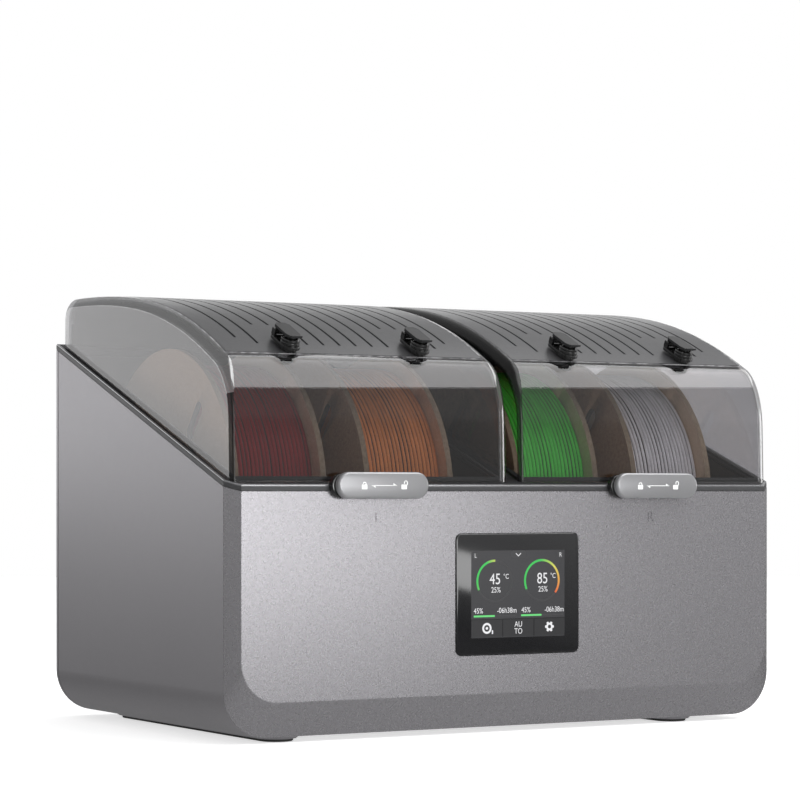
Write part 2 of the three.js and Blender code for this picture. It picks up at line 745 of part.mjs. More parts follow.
function addSpool(chamber, label, x, colour) {
  place(chamber, `spool_${label}`, spoolCard(), MATERIAL.card, [x, SPOOL.y, SPOOL.z]);
  place(chamber, `filament_${label}`, filamentWinding(), paint(colour, 0.45), [x, SPOOL.y, SPOOL.z]);
  for (const [side, end] of [
    [-1, "front"],
    [1, "rear"],
  ]) {
    place(chamber, `roller_${label}_${end}`, roller(), MATERIAL.steel, [x, ...rollerCentre(side)]);
  }
}

function addOutlet(lid, label, side) {
  const seat = new THREE.Group();
  seat.position.set((side * SPOOL.pitch) / 2, OUTLET_Y, OUTLET_Z);
  seat.rotation.x = OUTLET_TILT;
  lid.add(seat);
  place(seat, `outlet_collar_${label}`, outletCollar(), MATERIAL.black);
  place(seat, `outlet_cap_${label}`, outletCap(), MATERIAL.black);
}

function addChamber(label, x, first) {
  const chamber = new THREE.Group();
  chamber.position.x = x;
  assembly.add(chamber);
  place(chamber, `tub_${label}`, chamberTub(), MATERIAL.tub);
  place(chamber, `seal_${label}`, lidSeal(), MATERIAL.rubber);
  place(chamber, `heater_${label}`, heater(), MATERIAL.aluminium);
  place(chamber, `fan_frame_${label}`, fanFrame(), MATERIAL.black);
  place(chamber, `fan_rotor_${label}`, fanRotor(), MATERIAL.black, [0, FAN.y + 5, FAN.z]);
  place(chamber, `humidity_sensor_${label}`, humiditySensor(), MATERIAL.black);
  const pin = rod("x", PIN_R, -HINGE_X - 16, HINGE_X + 16, [PIVOT.y, PIVOT.z], 10);
  place(chamber, `hinge_pin_${label}`, pin, MATERIAL.steel);
  place(chamber, `latch_base_${label}`, latchBase(), MATERIAL.black);
  place(chamber, `latch_${label}`, latchSlider(), MATERIAL.latch);
  const lid = new THREE.Group();
  chamber.add(lid);
  place(lid, `lid_${label}`, lidShell(), MATERIAL.clear);
  place(lid, `lid_cover_${label}`, lidCover(), MATERIAL.cover);
  [-1, 1].forEach((side, k) => {
    const number = first + k;
    addOutlet(lid, number, side);
    addSpool(chamber, number, (side * SPOOL.pitch) / 2, FILAMENT_COLOURS[number - 1]);
  });
}

addChamber("left", -CHAMBER_X, 1);
addChamber("right", CHAMBER_X, 3);

export default root;
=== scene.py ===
"""Looks of the filament dryer box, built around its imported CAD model."""

import math
import random

import bmesh
import bpy
from mathutils import Matrix, Vector


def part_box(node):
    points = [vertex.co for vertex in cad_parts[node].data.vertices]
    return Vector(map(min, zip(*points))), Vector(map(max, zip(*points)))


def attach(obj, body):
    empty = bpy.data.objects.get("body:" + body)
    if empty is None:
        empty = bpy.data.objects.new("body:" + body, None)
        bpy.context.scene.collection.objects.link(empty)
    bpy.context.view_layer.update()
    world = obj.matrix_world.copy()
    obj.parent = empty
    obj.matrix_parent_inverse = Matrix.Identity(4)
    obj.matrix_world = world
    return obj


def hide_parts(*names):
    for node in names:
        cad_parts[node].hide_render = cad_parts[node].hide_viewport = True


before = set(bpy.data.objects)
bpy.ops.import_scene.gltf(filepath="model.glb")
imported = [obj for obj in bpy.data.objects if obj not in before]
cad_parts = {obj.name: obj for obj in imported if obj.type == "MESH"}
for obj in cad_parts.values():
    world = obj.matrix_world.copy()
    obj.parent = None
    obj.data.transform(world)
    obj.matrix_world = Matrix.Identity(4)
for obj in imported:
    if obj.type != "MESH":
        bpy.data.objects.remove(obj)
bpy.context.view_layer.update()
random.seed(4)

# ---- Dimensions --------------------------------------
# Shapes are drawn in millimetres in the box's own frame: x from the middle plane, y behind the seam
# between wrap and front panel, z above the front rim. place() turns them into the frame's metres.
MM = 0.001
shell_low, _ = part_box("outer_shell")
SEAM = shell_low.y
RIM = shell_low.z + 158 * MM

HALF = 213.5
DEPTH = 264.0
BODY_BOTTOM = -156.0
CORNER_R = 30.0
BEZEL = 8.4
PANEL_BOTTOM = -133.5
PANEL_CORNER_R = 26.0
PANEL_SHARP = 12.0
WALL = 3.0
GAP = 0.3
RAIL_FRONT, RAIL_SLOPE = 2.7, 0.369

CHAMBER_X = 107.25
LID_HALF = 103.25
LID_EDGE_R = 7.0
LID_CORNER_R = 3.0
LID_SKIN = 2.5
LID_LIFT = 4.6
CRISP_TO, ROUND_FROM = 58.0, 82.0
SHADED_BELOW = 60.0
CROWN_END = 245.0
HINGE_Y, HINGE_Z = 268.6, 103.0
BEAD_R, BEAD_SUNK = 0.42, 0.4
COVER_FRONT = 16.0
COVER_REAR_Z = 118.0
COVER_T = 3.6
MOUTH_HALF = 98.0
MOUTH_FRONT = 6.0
MOUTH_REAR = 250.6

SPOOL_Y, SPOOL_Z = 132.6, -4.6
SPOOL_R = 100.0
SPOOL_HALF = 34.0
SPOOL_PITCH = 96.8
FLANGE_T = 4.0
BORE_R = 26.5
TUBE_R = 31.0
WINDING_R = 90.0
WINDINGS = 20
SLOT_INNER, SLOT_OUTER, SLOT_HALF = 56.0, 76.0, 5.0

GROOVE_PITCH = SPOOL_PITCH / 8
GROOVE_DEPTH = 1.2
GROOVE_HALF = 0.95
GROOVE_SLOPE = 0.35
GROOVE_RAMP = 1.2
GROOVE_STARTS = (30.0, 38.0, 62.0)
GROOVE_END = 240.0

OUTLET_Y, OUTLET_Z = 27.0, 94.6
OUTLET_TILT = math.radians(25)
OUTLET_RING_Y = -6.0

LATCH_Z = 3.4
LATCH_FACE = -17.7
DISPLAY_Z = -68.1
DISPLAY_W, DISPLAY_H, DISPLAY_R = 96.4, 79.8, 4.5
DISPLAY_GAP = 0.35
FOOT_X = (-168.5, 140.5)
FOOT_FRONT, FOOT_REAR, FOOT_HALF = 4.0, 235.0, 11.0
FOOT_BOTTOM = -159.6

SIDES = (("left", -CHAMBER_X, 1), ("right", CHAMBER_X, 3))


def rail(y):
    """Height of the side walls' top edge."""
    return RAIL_FRONT + RAIL_SLOPE * y


def place(point):
    """A point of the box's own frame, in the frame's metres."""
    x, y, z = point
    return Vector((x * MM, SEAM + y * MM, RIM + z * MM))


# ---- Materials ---------------------------------------
def material(name, colour, roughness, metallic=0.0, coat=0.0):
    """A Principled material whose constants sit on its own sockets."""
    made = bpy.data.materials.new(name)
    made.use_nodes = True
    shader = made.node_tree.nodes["Principled BSDF"]
    shader.inputs["Base Color"].default_value = (*colour, 1)
    shader.inputs["Roughness"].default_value = roughness
    shader.inputs["Metallic"].default_value = metallic
    shader.inputs["Coat Weight"].default_value = coat
    shader.inputs["Coat Roughness"].default_value = 0.08
    made.diffuse_color = (*colour, 1)
    return made


def noise(made, scale, detail=2.0, stretch=(1, 1, 1)):
    """A noise value over the object's own space."""
    nodes, links = made.node_tree.nodes, made.node_tree.links
    coords = nodes.new("ShaderNodeTexCoord")
    mapping = nodes.new("ShaderNodeMapping")
    mapping.inputs["Scale"].default_value = stretch
    texture = nodes.new("ShaderNodeTexNoise")
    texture.inputs["Scale"].default_value = scale
    texture.inputs["Detail"].default_value = detail
    links.new(coords.outputs["Object"], mapping.inputs["Vector"])
    links.new(mapping.outputs["Vector"], texture.inputs["Vector"])
    return texture.outputs["Fac"]


def tone_ramp(nodes, stops):
    """A colour ramp through (position, colour) stops."""
    ramp = nodes.new("ShaderNodeValToRGB")
    elements = ramp.color_ramp.elements
    elements.remove(elements[1])
    for k, (position, colour) in enumerate(stops):
        element = elements.new(position) if k else elements[0]
        element.position = position
        element.color = (*colour, 1)
    return ramp


def colours(made, value, dark, light, low=0.35, high=0.65):
    """Colours the surface between two tones by a value."""
    nodes, links = made.node_tree.nodes, made.node_tree.links
    ramp = tone_ramp(nodes, [(low, dark), (high, light)])
    links.new(value, ramp.inputs["Fac"])
    links.new(ramp.outputs["Color"], nodes["Principled BSDF"].inputs["Base Color"])


def shine(made, value, low, high):
    """Spreads the roughness between two values."""
    nodes, links = made.node_tree.nodes, made.node_tree.links
    spread = nodes.new("ShaderNodeMapRange")
    spread.inputs["To Min"].default_value = low
    spread.inputs["To Max"].default_value = high
    links.new(value, spread.inputs["Value"])
    links.new(spread.outputs["Result"], nodes["Principled BSDF"].inputs["Roughness"])


def bumps(made, value, strength, depth):
    """Raises the surface by a value; depth in metres."""
    nodes, links = made.node_tree.nodes, made.node_tree.links
    bump = nodes.new("ShaderNodeBump")
    bump.inputs["Strength"].default_value = strength
    bump.inputs["Distance"].default_value = depth
    links.new(value, bump.inputs["Height"])
    links.new(bump.outputs["Normal"], nodes["Principled BSDF"].inputs["Normal"])


def plastic(name, dark, light, roughness, metallic=0.0, coat=0.0, grain=1400, texture=0.15):
    """Moulded plastic with a fine skin texture and a slight change of tone."""
    made = material(name, light, sum(roughness) / 2, metallic, coat)
    colours(made, noise(made, grain), dark, light)
    shine(made, noise(made, grain / 8, 3), *roughness)
    bumps(made, noise(made, grain * 1.7), texture, 0.00003)
    return made


def clear(name, tint, reflect=0.05, gloss=0.03):
    """Thin clear plastic: what is behind it shows unbent through its tint, under a mirror-like skin."""
    made = material(name, tint, gloss)
    nodes, links = made.node_tree.nodes, made.node_tree.links
    through = nodes.new("ShaderNodeBsdfTransparent")
    through.inputs["Color"].default_value = (*tint, 1)
    facing = nodes.new("ShaderNodeLayerWeight")
    facing.inputs["Blend"].default_value = 0.5
    power = nodes.new("ShaderNodeMath")
    power.operation = "POWER"
    power.inputs[1].default_value = 5.0
    share = nodes.new("ShaderNodeMapRange")
    share.inputs["To Min"].default_value = reflect
    share.inputs["To Max"].default_value = 1.0
    mirror = nodes.new("ShaderNodeBsdfGlossy")
    mirror.inputs["Color"].default_value = (1, 1, 1, 1)
    mirror.inputs["Roughness"].default_value = gloss
    mix = nodes.new("ShaderNodeMixShader")
    links.new(facing.outputs["Facing"], power.inputs[0])
    links.new(power.outputs["Value"], share.inputs["Value"])
    links.new(share.outputs["Result"], mix.inputs["Fac"])
    links.new(through.outputs["BSDF"], mix.inputs[1])
    links.new(mirror.outputs["BSDF"], mix.inputs[2])
    # light falls in undimmed, so that the chamber is lit as by the diffuse walls of a real one
    path = nodes.new("ShaderNodeLightPath")
    open_way = nodes.new("ShaderNodeBsdfTransparent")
    lit_mix = nodes.new("ShaderNodeMixShader")
    links.new(path.outputs["Is Shadow Ray"], lit_mix.inputs["Fac"])
    links.new(mix.outputs["Shader"], lit_mix.inputs[1])
    links.new(open_way.outputs["BSDF"], lit_mix.inputs[2])
    links.new(lit_mix.outputs["Shader"], nodes["Material Output"].inputs["Surface"])
    return made


def glowing(name, colour, strength=1.0):
    """A lit element of the screen."""
    made = material(name, (0.0, 0.0, 0.0), 0.3)
    shader = made.node_tree.nodes["Principled BSDF"]
    shader.inputs["Emission Color"].default_value = (*colour, 1)
    shader.inputs["Emission Strength"].default_value = strength
    return made


body_paint = plastic("body_paint", (0.35, 0.342, 0.36), (0.43, 0.42, 0.44), (0.24, 0.3), 0.8, grain=2600)
wrap_paint = plastic("wrap_paint", (0.31, 0.302, 0.318), (0.38, 0.37, 0.388), (0.36, 0.42), 0.8, grain=2600)
trim_plastic = plastic("trim_plastic", (0.045, 0.045, 0.047), (0.06, 0.06, 0.063), (0.36, 0.44), 0.3)
# light grey bead colour: a painted highlight line along the deck's edge
highlight_bead_paint = plastic("highlight_bead_paint", (0.28, 0.28, 0.29), (0.34, 0.34, 0.35), (0.16, 0.22), 0.7)
clear_wall = clear("clear_wall", (0.7, 0.695, 0.705), 0.056)
clear_edge = clear("clear_edge", (0.62, 0.62, 0.63), 0.2, 0.1)
# light colour with coarse speckles: painted glints along the cover's seat
lip_glint_paint = plastic("lip_glint_paint", (0.2, 0.2, 0.21), (0.85, 0.85, 0.86), (0.1, 0.3), 0.3, grain=180)
# a darker copy of the clear edge: painted shade for the lid edges that lie in shade
clear_edge_painted_shade = clear("clear_edge_painted_shade", (0.16, 0.16, 0.165), 0.03, 0.25)
cover_plastic = plastic("cover_plastic", (0.07, 0.07, 0.073), (0.088, 0.088, 0.092), (0.28, 0.36), 0.35)
gloss_black = plastic("gloss_black", (0.006, 0.006, 0.006), (0.01, 0.01, 0.01), (0.06, 0.12), coat=0.6)
matte_black = plastic("matte_black", (0.018, 0.018, 0.019), (0.03, 0.03, 0.031), (0.38, 0.48))
cap_plastic = plastic("cap_plastic", (0.014, 0.014, 0.015), (0.022, 0.022, 0.023), (0.48, 0.56))
tub_plastic = plastic("tub_plastic", (0.02, 0.02, 0.021), (0.028, 0.028, 0.03), (0.45, 0.55))
rubber = plastic("rubber", (0.01, 0.01, 0.01), (0.018, 0.018, 0.018), (0.6, 0.8), texture=0.3)
latch_paint = plastic("latch_paint", (0.32, 0.32, 0.33), (0.37, 0.37, 0.38), (0.26, 0.32), 0.6, grain=2600)
glass_black = plastic("glass_black", (0.006, 0.006, 0.007), (0.009, 0.009, 0.01), (0.03, 0.06), coat=1.0)
steel = plastic("steel", (0.5, 0.5, 0.51), (0.6, 0.6, 0.61), (0.22, 0.34), 1.0)
aluminium = plastic("aluminium", (0.6, 0.6, 0.61), (0.7, 0.7, 0.71), (0.35, 0.5), 1.0)
circuit = plastic("circuit", (0.008, 0.05, 0.025), (0.02, 0.11, 0.05), (0.3, 0.45), grain=300)


def card_material(name, dark, light):
    """Kraft board with fibres and a darker mottle."""
    made = material(name, light, 0.85)
    colours(made, noise(made, 420, 8), dark, light, 0.3, 0.7)
    bumps(made, noise(made, 2200, 4), 0.4, 0.0001)
    return made


card_face = card_material("card_face", (0.56, 0.38, 0.25), (0.7, 0.5, 0.34))
card_rim = card_material("card_rim", (0.26, 0.19, 0.125), (0.4, 0.31, 0.22))
# dark card for the slots' cut walls: painted shade inside the slots
card_slot_shade = card_material("card_slot_shade", (0.09, 0.07, 0.06), (0.14, 0.11, 0.095))
card_inner = card_material("card_inner", (0.8, 0.6, 0.43), (0.95, 0.74, 0.54))
CARDS = [card_face, card_rim, card_slot_shade, card_inner]


def thread_material(name, colour):
    """Filament: satin plastic with a little variation from turn to turn."""
    made = material(name, colour, 0.42, 0.0, 0.15)
    dark = tuple(c * 0.75 for c in colour)
    colours(made, noise(made, 60, 2, (18, 1, 1)), dark, colour, 0.3, 0.6)
    shine(made, noise(made, 900), 0.36, 0.5)
    return made


THREADS = (
    thread_material("thread_red", (0.38, 0.008, 0.014)),
    thread_material("thread_orange", (0.95, 0.33, 0.09)),
    thread_material("thread_green", (0.1, 0.95, 0.09)),
    thread_material("thread_silver", (0.98, 0.96, 1.0)),
)
# dark colour for the creases between turns: painted shade
thread_gap_shade = plastic("thread_gap_shade", (0.04, 0.036, 0.036), (0.07, 0.06, 0.06), (0.7, 0.8))


# ---- Meshes ------------------------------------------
def linked(name, data):
    """A mesh, text, light or camera as an object of the scene."""
    obj = bpy.data.objects.new(name, data)
    bpy.context.scene.collection.objects.link(obj)
    return obj


def piece(name, parts, materials, body=None, replaces=(), bevel=0.0, smooth=35.0, flatten=False):
    """Makes one piece from parts in the box's own frame, or a blank to cut with where no body is given.

    A part is points, faces and, unless it takes the first material, a material index or a list of them.
    """
    mesh = bpy.data.meshes.new(name)
    points, faces, indices = [], [], []
    for part_points, part_faces, *given in parts:
        start = len(points)
        index = given[0] if given else 0
        points += [place(p) for p in part_points]
        faces += [tuple(start + i for i in face) for face in part_faces]
        indices += index if isinstance(index, list) else [index] * len(part_faces)
    mesh.from_pydata(points, [], faces)
    for made in materials:
        mesh.materials.append(made)
    mesh.polygons.foreach_set("material_index", indices)
    work = bmesh.new()
    work.from_mesh(mesh)
    bmesh.ops.recalc_face_normals(work, faces=work.faces)
    work.to_mesh(mesh)
    work.free()
    mesh.shade_smooth()
    mesh.set_sharp_from_angle(angle=math.radians(smooth))
    obj = linked(name, mesh)
    if flatten:
        # broad faces keep their own normals where they meet a round edge
        weighting = obj.modifiers.new("flatten", "WEIGHTED_NORMAL")
        weighting.keep_sharp = True
    if bevel:
        rounding = obj.modifiers.new("edges", "BEVEL")
        rounding.width = bevel * MM
        rounding.segments = 2
        rounding.limit_method = "ANGLE"
        rounding.angle_limit = math.radians(28)
        rounding.harden_normals = True
    if body:
        finish_piece(obj, body, replaces)
    return obj


def finish_piece(obj, body, replaces=()):
    """Says which body a piece moves with and the CAD nodes it stands for."""
    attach(obj, body)
    if replaces:
        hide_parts(*replaces)


def arc(cx, cy, r, start, end, steps):
    """Points on an arc between two angles in degrees."""
    turns = [math.radians(start + (end - start) * k / steps) for k in range(steps + 1)]
    return [(cx + r * math.cos(t), cy + r * math.sin(t)) for t in turns]


def bezier(a, b, c, d, steps):
    """Points on a cubic curve, its first point left out."""
    points = []
    for k in range(1, steps + 1):
        t = k / steps
        u = 1 - t
        weights = (u**3, 3 * u * u * t, 3 * u * t * t, t**3)
        points.append(tuple(sum(w * p[i] for w, p in zip(weights, (a, b, c, d))) for i in (0, 1)))
    return points


def round_rect(w, h, r, cx=0.0, cy=0.0, steps=8):
    """A rectangle of half sizes w and h with round corners."""
    return (
        arc(cx + w - r, cy - h + r, r, -90, 0, steps)
        + arc(cx + w - r, cy + h - r, r, 0, 90, steps)
        + arc(cx - w + r, cy + h - r, r, 90, 180, steps)
        + arc(cx - w + r, cy - h + r, r, 180, 270, steps)
    )


def loft(rings, capped=True):
    """Joins closed rings of equally many points into one surface."""
    n = len(rings[0])
    points = [p for ring in rings for p in ring]
    faces = []
    for i in range(len(rings) - 1):
        for j in range(n):
            a, b = i * n + j, i * n + (j + 1) % n
            faces.append((a, b, b + n, a + n))
    if capped:
        faces.append(tuple(range(n)))
        faces.append(tuple(range(len(points) - n, len(points))))
    return points, faces


def slab_y(outline, y0, y1, edge=0.0):
    """An (x, z) outline from y0 to y1, with the rim of the y0 face rounded by a radius."""
    rings = []
    for k in range(5 if edge else 1):
        turn = math.radians(90 * k / 4)
        inset = edge * (1 - math.sin(turn))
        y = y0 + edge * (1 - math.cos(turn))
        rings.append(inset_ring(outline, inset, y))
    rings.append(inset_ring(outline, 0.0, y1))
    return loft(rings)


def inset_ring(outline, inset, y):
    """The outline moved inwards by a distance along its own normals, at depth y."""
    ring = []
    n = len(outline)
    for i, (x, z) in enumerate(outline):
        (ax, az), (bx, bz) = outline[i - 1], outline[(i + 1) % n]
        tx, tz = bx - ax, bz - az
        length = math.hypot(tx, tz) or 1.0
        ring.append((x - inset * tz / length, y, z + inset * tx / length))
    return ring


def slab_z(outline, z0, z1):
    """An (x, y) outline from z0 to z1."""
    return loft([[(x, y, z) for x, y in outline] for z in (z0, z1)])


def box_part(x0, x1, y0, y1, z0, z1):
    points = [(x, y, z) for x in (x0, x1) for y in (y0, y1) for z in (z0, z1)]
    faces = [(0, 1, 3, 2), (4, 6, 7, 5), (0, 4, 5, 1), (2, 3, 7, 6), (0, 2, 6, 4), (1, 5, 7, 3)]
    return points, faces


def lathe_x(profile, centre, sides=96):
    """Turns closed (radius, x) points about an axis along x through centre."""
    cx, cy, cz = centre
    rings = []
    for k in range(sides):
        t = 2 * math.pi * k / sides
        rings.append([(cx + x, cy + r * math.cos(t), cz + r * math.sin(t)) for r, x in profile])
    n = len(profile)
    points = [p for ring in rings for p in ring]
    faces = []
    for k in range(sides):
        for j in range(n):
            a, b = k * n + j, k * n + (j + 1) % n
            c, d = ((k + 1) % sides) * n + (j + 1) % n, ((k + 1) % sides) * n + j
            faces.append((a, b, c, d))
    return points, faces


def grid(rows, columns):
    """Gives the index of a point that stands in a layer's row and column."""
    return lambda layer, i, j: (layer * rows + i) * columns + j


def moved(part, matrix):
    """A (points, faces) pair after a 4 x 4 matrix."""
    points, faces = part
    return [tuple(matrix @ Vector(p)) for p in points], faces


def baked(obj):
    """Applies an object's modifiers to its mesh."""
    graph = bpy.context.evaluated_depsgraph_get()
    graph.update()
    mesh = bpy.data.meshes.new_from_object(obj.evaluated_get(graph))
    old = obj.data
    obj.modifiers.clear()
    obj.data = mesh
    bpy.data.meshes.remove(old)


def text_mesh(text, size, depth, spot, squeeze=1.0, centred=False):
    """Lettering upright at a spot and facing the front; it reaches the depth to either side."""
    curve = bpy.data.curves.new("letters", "FONT")
    curve.body = text
    curve.size = size * MM
    curve.extrude = depth * MM
    curve.align_x = "CENTER"
    if centred:
        curve.align_y = "CENTER"
    shape = linked("letters", curve)
    graph = bpy.context.evaluated_depsgraph_get()
    graph.update()
    mesh = bpy.data.meshes.new_from_object(shape.evaluated_get(graph))
    bpy.data.objects.remove(shape)
    turn = Matrix.Rotation(math.pi / 2, 4, "X")
    mesh.transform(Matrix.Translation(place(spot)) @ turn @ Matrix.Diagonal((squeeze, 1, 1, 1)))
    return mesh


def carve(obj, cutters):
    """Cuts closed objects out of a piece, then removes them."""
    for cutter in cutters:
        cutting = obj.modifiers.new("cut", "BOOLEAN")
        cutting.operation = "DIFFERENCE"
        cutting.solver = "EXACT"
        cutting.object = cutter
    baked(obj)
    for cutter in cutters:
        bpy.data.objects.remove(cutter)


# ---- Body --------------------------------------------
def section(inset, bottom, r, y):
    """Half-open body section at depth y: left rim, round corners, right rim."""
    side = HALF - inset
    return (
        [(-side, rail(y))]
        + arc(-side + r, bottom + r, r, 180, 270, 16)
        + arc(side - r, bottom + r, r, 270, 360, 16)
        + [(side, rail(y))]
    )


def wrap_part():
    """The wrap: left side, bottom and right side as one sheet."""
    rear = DEPTH - WALL - GAP
    corners = []
    for inset, y in ((0, 0.0), (0, rear), (WALL, rear), (WALL, 0.0)):
        corners.append([(x, y, z) for x, z in section(inset, BODY_BOTTOM + inset, CORNER_R - inset, y)])
    return loft([list(ring) for ring in zip(*corners)])


def pill(cx, half, y0, y1, z, steps=12):
    """A long strip's outline at height z, with half-round ends."""
    front = arc(cx, y0 + half, half, 180, 360, steps)
    rear = arc(cx, y1 - half, half, 0, 180, steps)
    return [(x, y, z) for x, y in front + rear]


def plinth_part(x):
    """The tapered plinth over a foot strip."""
    top = pill(x, FOOT_HALF + 5.5, FOOT_FRONT - 3.5, FOOT_REAR + 5.5, BODY_BOTTOM + 0.5)
    low = pill(x, FOOT_HALF + 2, FOOT_FRONT - 2, FOOT_REAR + 2, FOOT_BOTTOM + 1.7)
    return loft([top, low])


wrap = [wrap_part()] + [plinth_part(x) for x in FOOT_X]
piece("body_wrap", wrap, [wrap_paint], "base", ["outer_shell"], bevel=0.5)

for (side, _, _), x in zip(SIDES, FOOT_X):
    rings = [
        pill(x, FOOT_HALF, FOOT_FRONT, FOOT_REAR, FOOT_BOTTOM + 1.5),
        pill(x, FOOT_HALF, FOOT_FRONT, FOOT_REAR, FOOT_BOTTOM + 0.5),
        pill(x, FOOT_HALF - 0.5, FOOT_FRONT + 0.5, FOOT_REAR - 0.5, FOOT_BOTTOM),
    ]
    piece(f"foot_pad_{side}", [loft(rings)], [rubber], "base", [f"foot_{side}"])


front_outline = section(BEZEL, PANEL_BOTTOM, PANEL_CORNER_R, -BEZEL)
rear_outline = section(0, BODY_BOTTOM, CORNER_R, -GAP)
panel = loft([[(x, -GAP, z) for x, z in rear_outline], [(x, -BEZEL, z) for x, z in front_outline]])
bezel = piece("front_panel", [panel], [body_paint], smooth=PANEL_SHARP)
hole = round_rect(DISPLAY_W / 2 + DISPLAY_GAP, DISPLAY_H / 2 + DISPLAY_GAP, DISPLAY_R, 0, DISPLAY_Z)
LETTER_SIZE, LETTER_DEPTH, LETTER_Z = 9.6, 0.45, -20.7
cutters = [piece("display_hole", [slab_y(hole, -20, 20)], [matte_black])]
for text, x in (("L", -CHAMBER_X), ("R", CHAMBER_X)):
    letter = text_mesh(text, LETTER_SIZE, LETTER_DEPTH, (x, -BEZEL, LETTER_Z))
    cutters.append(linked("letter_cut", letter))
carve(bezel, cutters)
bezel.data.shade_smooth()
bezel.data.set_sharp_from_angle(angle=math.radians(PANEL_SHARP))
finish_piece(bezel, "base", ["front_bezel"])


# The dark deck on the walls, with a glossy bead along its outer upper edge whose light grey colour is a
# painted highlight line.
def plan(inset):
    """The deck's outline seen from above, moved inwards."""
    side = HALF - inset
    front = inset - BEZEL
    return [
        (-side, 0.0),
        (-side + BEZEL, front),
        (side - BEZEL, front),
        (side, 0.0),
        (side, DEPTH - inset),
        (-side, DEPTH - inset),
    ]


def on_rail(outline, lift):
    """The outline at a height above the side walls' sloping edge."""
    return [(x, y, rail(y) + lift) for x, y in outline]


deck = loft([on_rail(plan(0), 0.3), on_rail(plan(0), 3.0), on_rail(plan(0.5), 3.6)])
trim = piece("rim_deck", [deck], [trim_plastic])
cutters = []
for side, cx, _ in SIDES:
    mouth = box_part(cx - MOUTH_HALF, cx + MOUTH_HALF, MOUTH_FRONT, MOUTH_REAR, -80, 180)
    cutters.append(piece(f"mouth_{side}", [mouth], [trim_plastic]))
carve(trim, cutters)
finish_piece(trim, "base", ["rim_trim"])


def strip_along_rim(low, high, inset, thick):
    """A narrow closed band standing on the deck all round."""
    outer, inner = plan(inset), plan(inset + thick)
    band = [on_rail(outer, low), on_rail(outer, high), on_rail(inner, high), on_rail(inner, low)]
    return loft(band + band[:1], capped=False)


# a glossy bead whose light colour is a painted highlight
piece("rim_highlight_bead", [strip_along_rim(3.1, 4.1, 0.25, 1.6)], [highlight_bead_paint], "base", bevel=0.25)


# ---- Lids --------------------------------------------
def lid_outline():
    """The lid's side view from its front edge over the crown to its rear edge, as (y, z)."""
    points = [(-5.0 + k * 0.2, 8.0 + k * 7.4) for k in range(5)]
    points += [(-4.0, 45.0)]
    points += bezier((-4, 45), (-3.5, 64), (4, 80.5), (14, 86.5), 16)
    points += bezier((14, 86.5), (74, 119.5), (133, 135.5), (CROWN_END, 135.5), 48)
    points += arc(CROWN_END, 120, 15.5, 90, 0, 12)[1:]
    points += [(260.55, COVER_REAR_Z), (260.7, 112.0), (260.9, 106.0), (261.0, 103.0)]
    return points


OUTLINE = lid_outline()


def outward(i):
    """The outline's outward normal at a point."""
    (ay, az), (by, bz) = OUTLINE[max(i - 1, 0)], OUTLINE[min(i + 1, len(OUTLINE) - 1)]
    ty, tz = by - ay, bz - az
    length = math.hypot(ty, tz)
    return -tz / length, ty / length


NORMALS = [outward(i) for i in range(len(OUTLINE))]
FIRST_COVER = next(i for i, (y, _) in enumerate(OUTLINE) if y >= COVER_FRONT)
LAST_COVER = next(i for i, (y, z) in enumerate(OUTLINE) if y > CROWN_END and z <= COVER_REAR_Z)


def lid_row(i, cx, skin, steps):
    """One station of the lid: side edge, round edge, flat, round edge, side edge."""
    (y, z), (ny, nz) = OUTLINE[i], NORMALS[i]
    # the left edge is crisp up the front and grows rounder towards the cover
    share = 1.0
    if y < COVER_FRONT:
        share = min(max((z - CRISP_TO) / (ROUND_FROM - CRISP_TO), 0.0), 1.0)
    half = LID_HALF - skin
    edges = []
    for radius in (LID_CORNER_R + (LID_EDGE_R - LID_CORNER_R) * share, LID_EDGE_R):
        r = radius - skin
        edge = []
        for k in range(steps + 1):
            t = math.radians(90 * k / steps)
            inward = skin + r * (1 - math.sin(t))
            edge.append((half - r * (1 - math.cos(t)), y - inward * ny, z - inward * nz))
        edges.append(edge)
    left, right = edges
    row = [(cx - x, py, pz) for x, py, pz in left] + [(cx + x, py, pz) for x, py, pz in reversed(right)]
    if i in (0, len(OUTLINE) - 1):
        row = [(x, py, rail(py) + LID_LIFT) for x, py, _ in row]
    return row


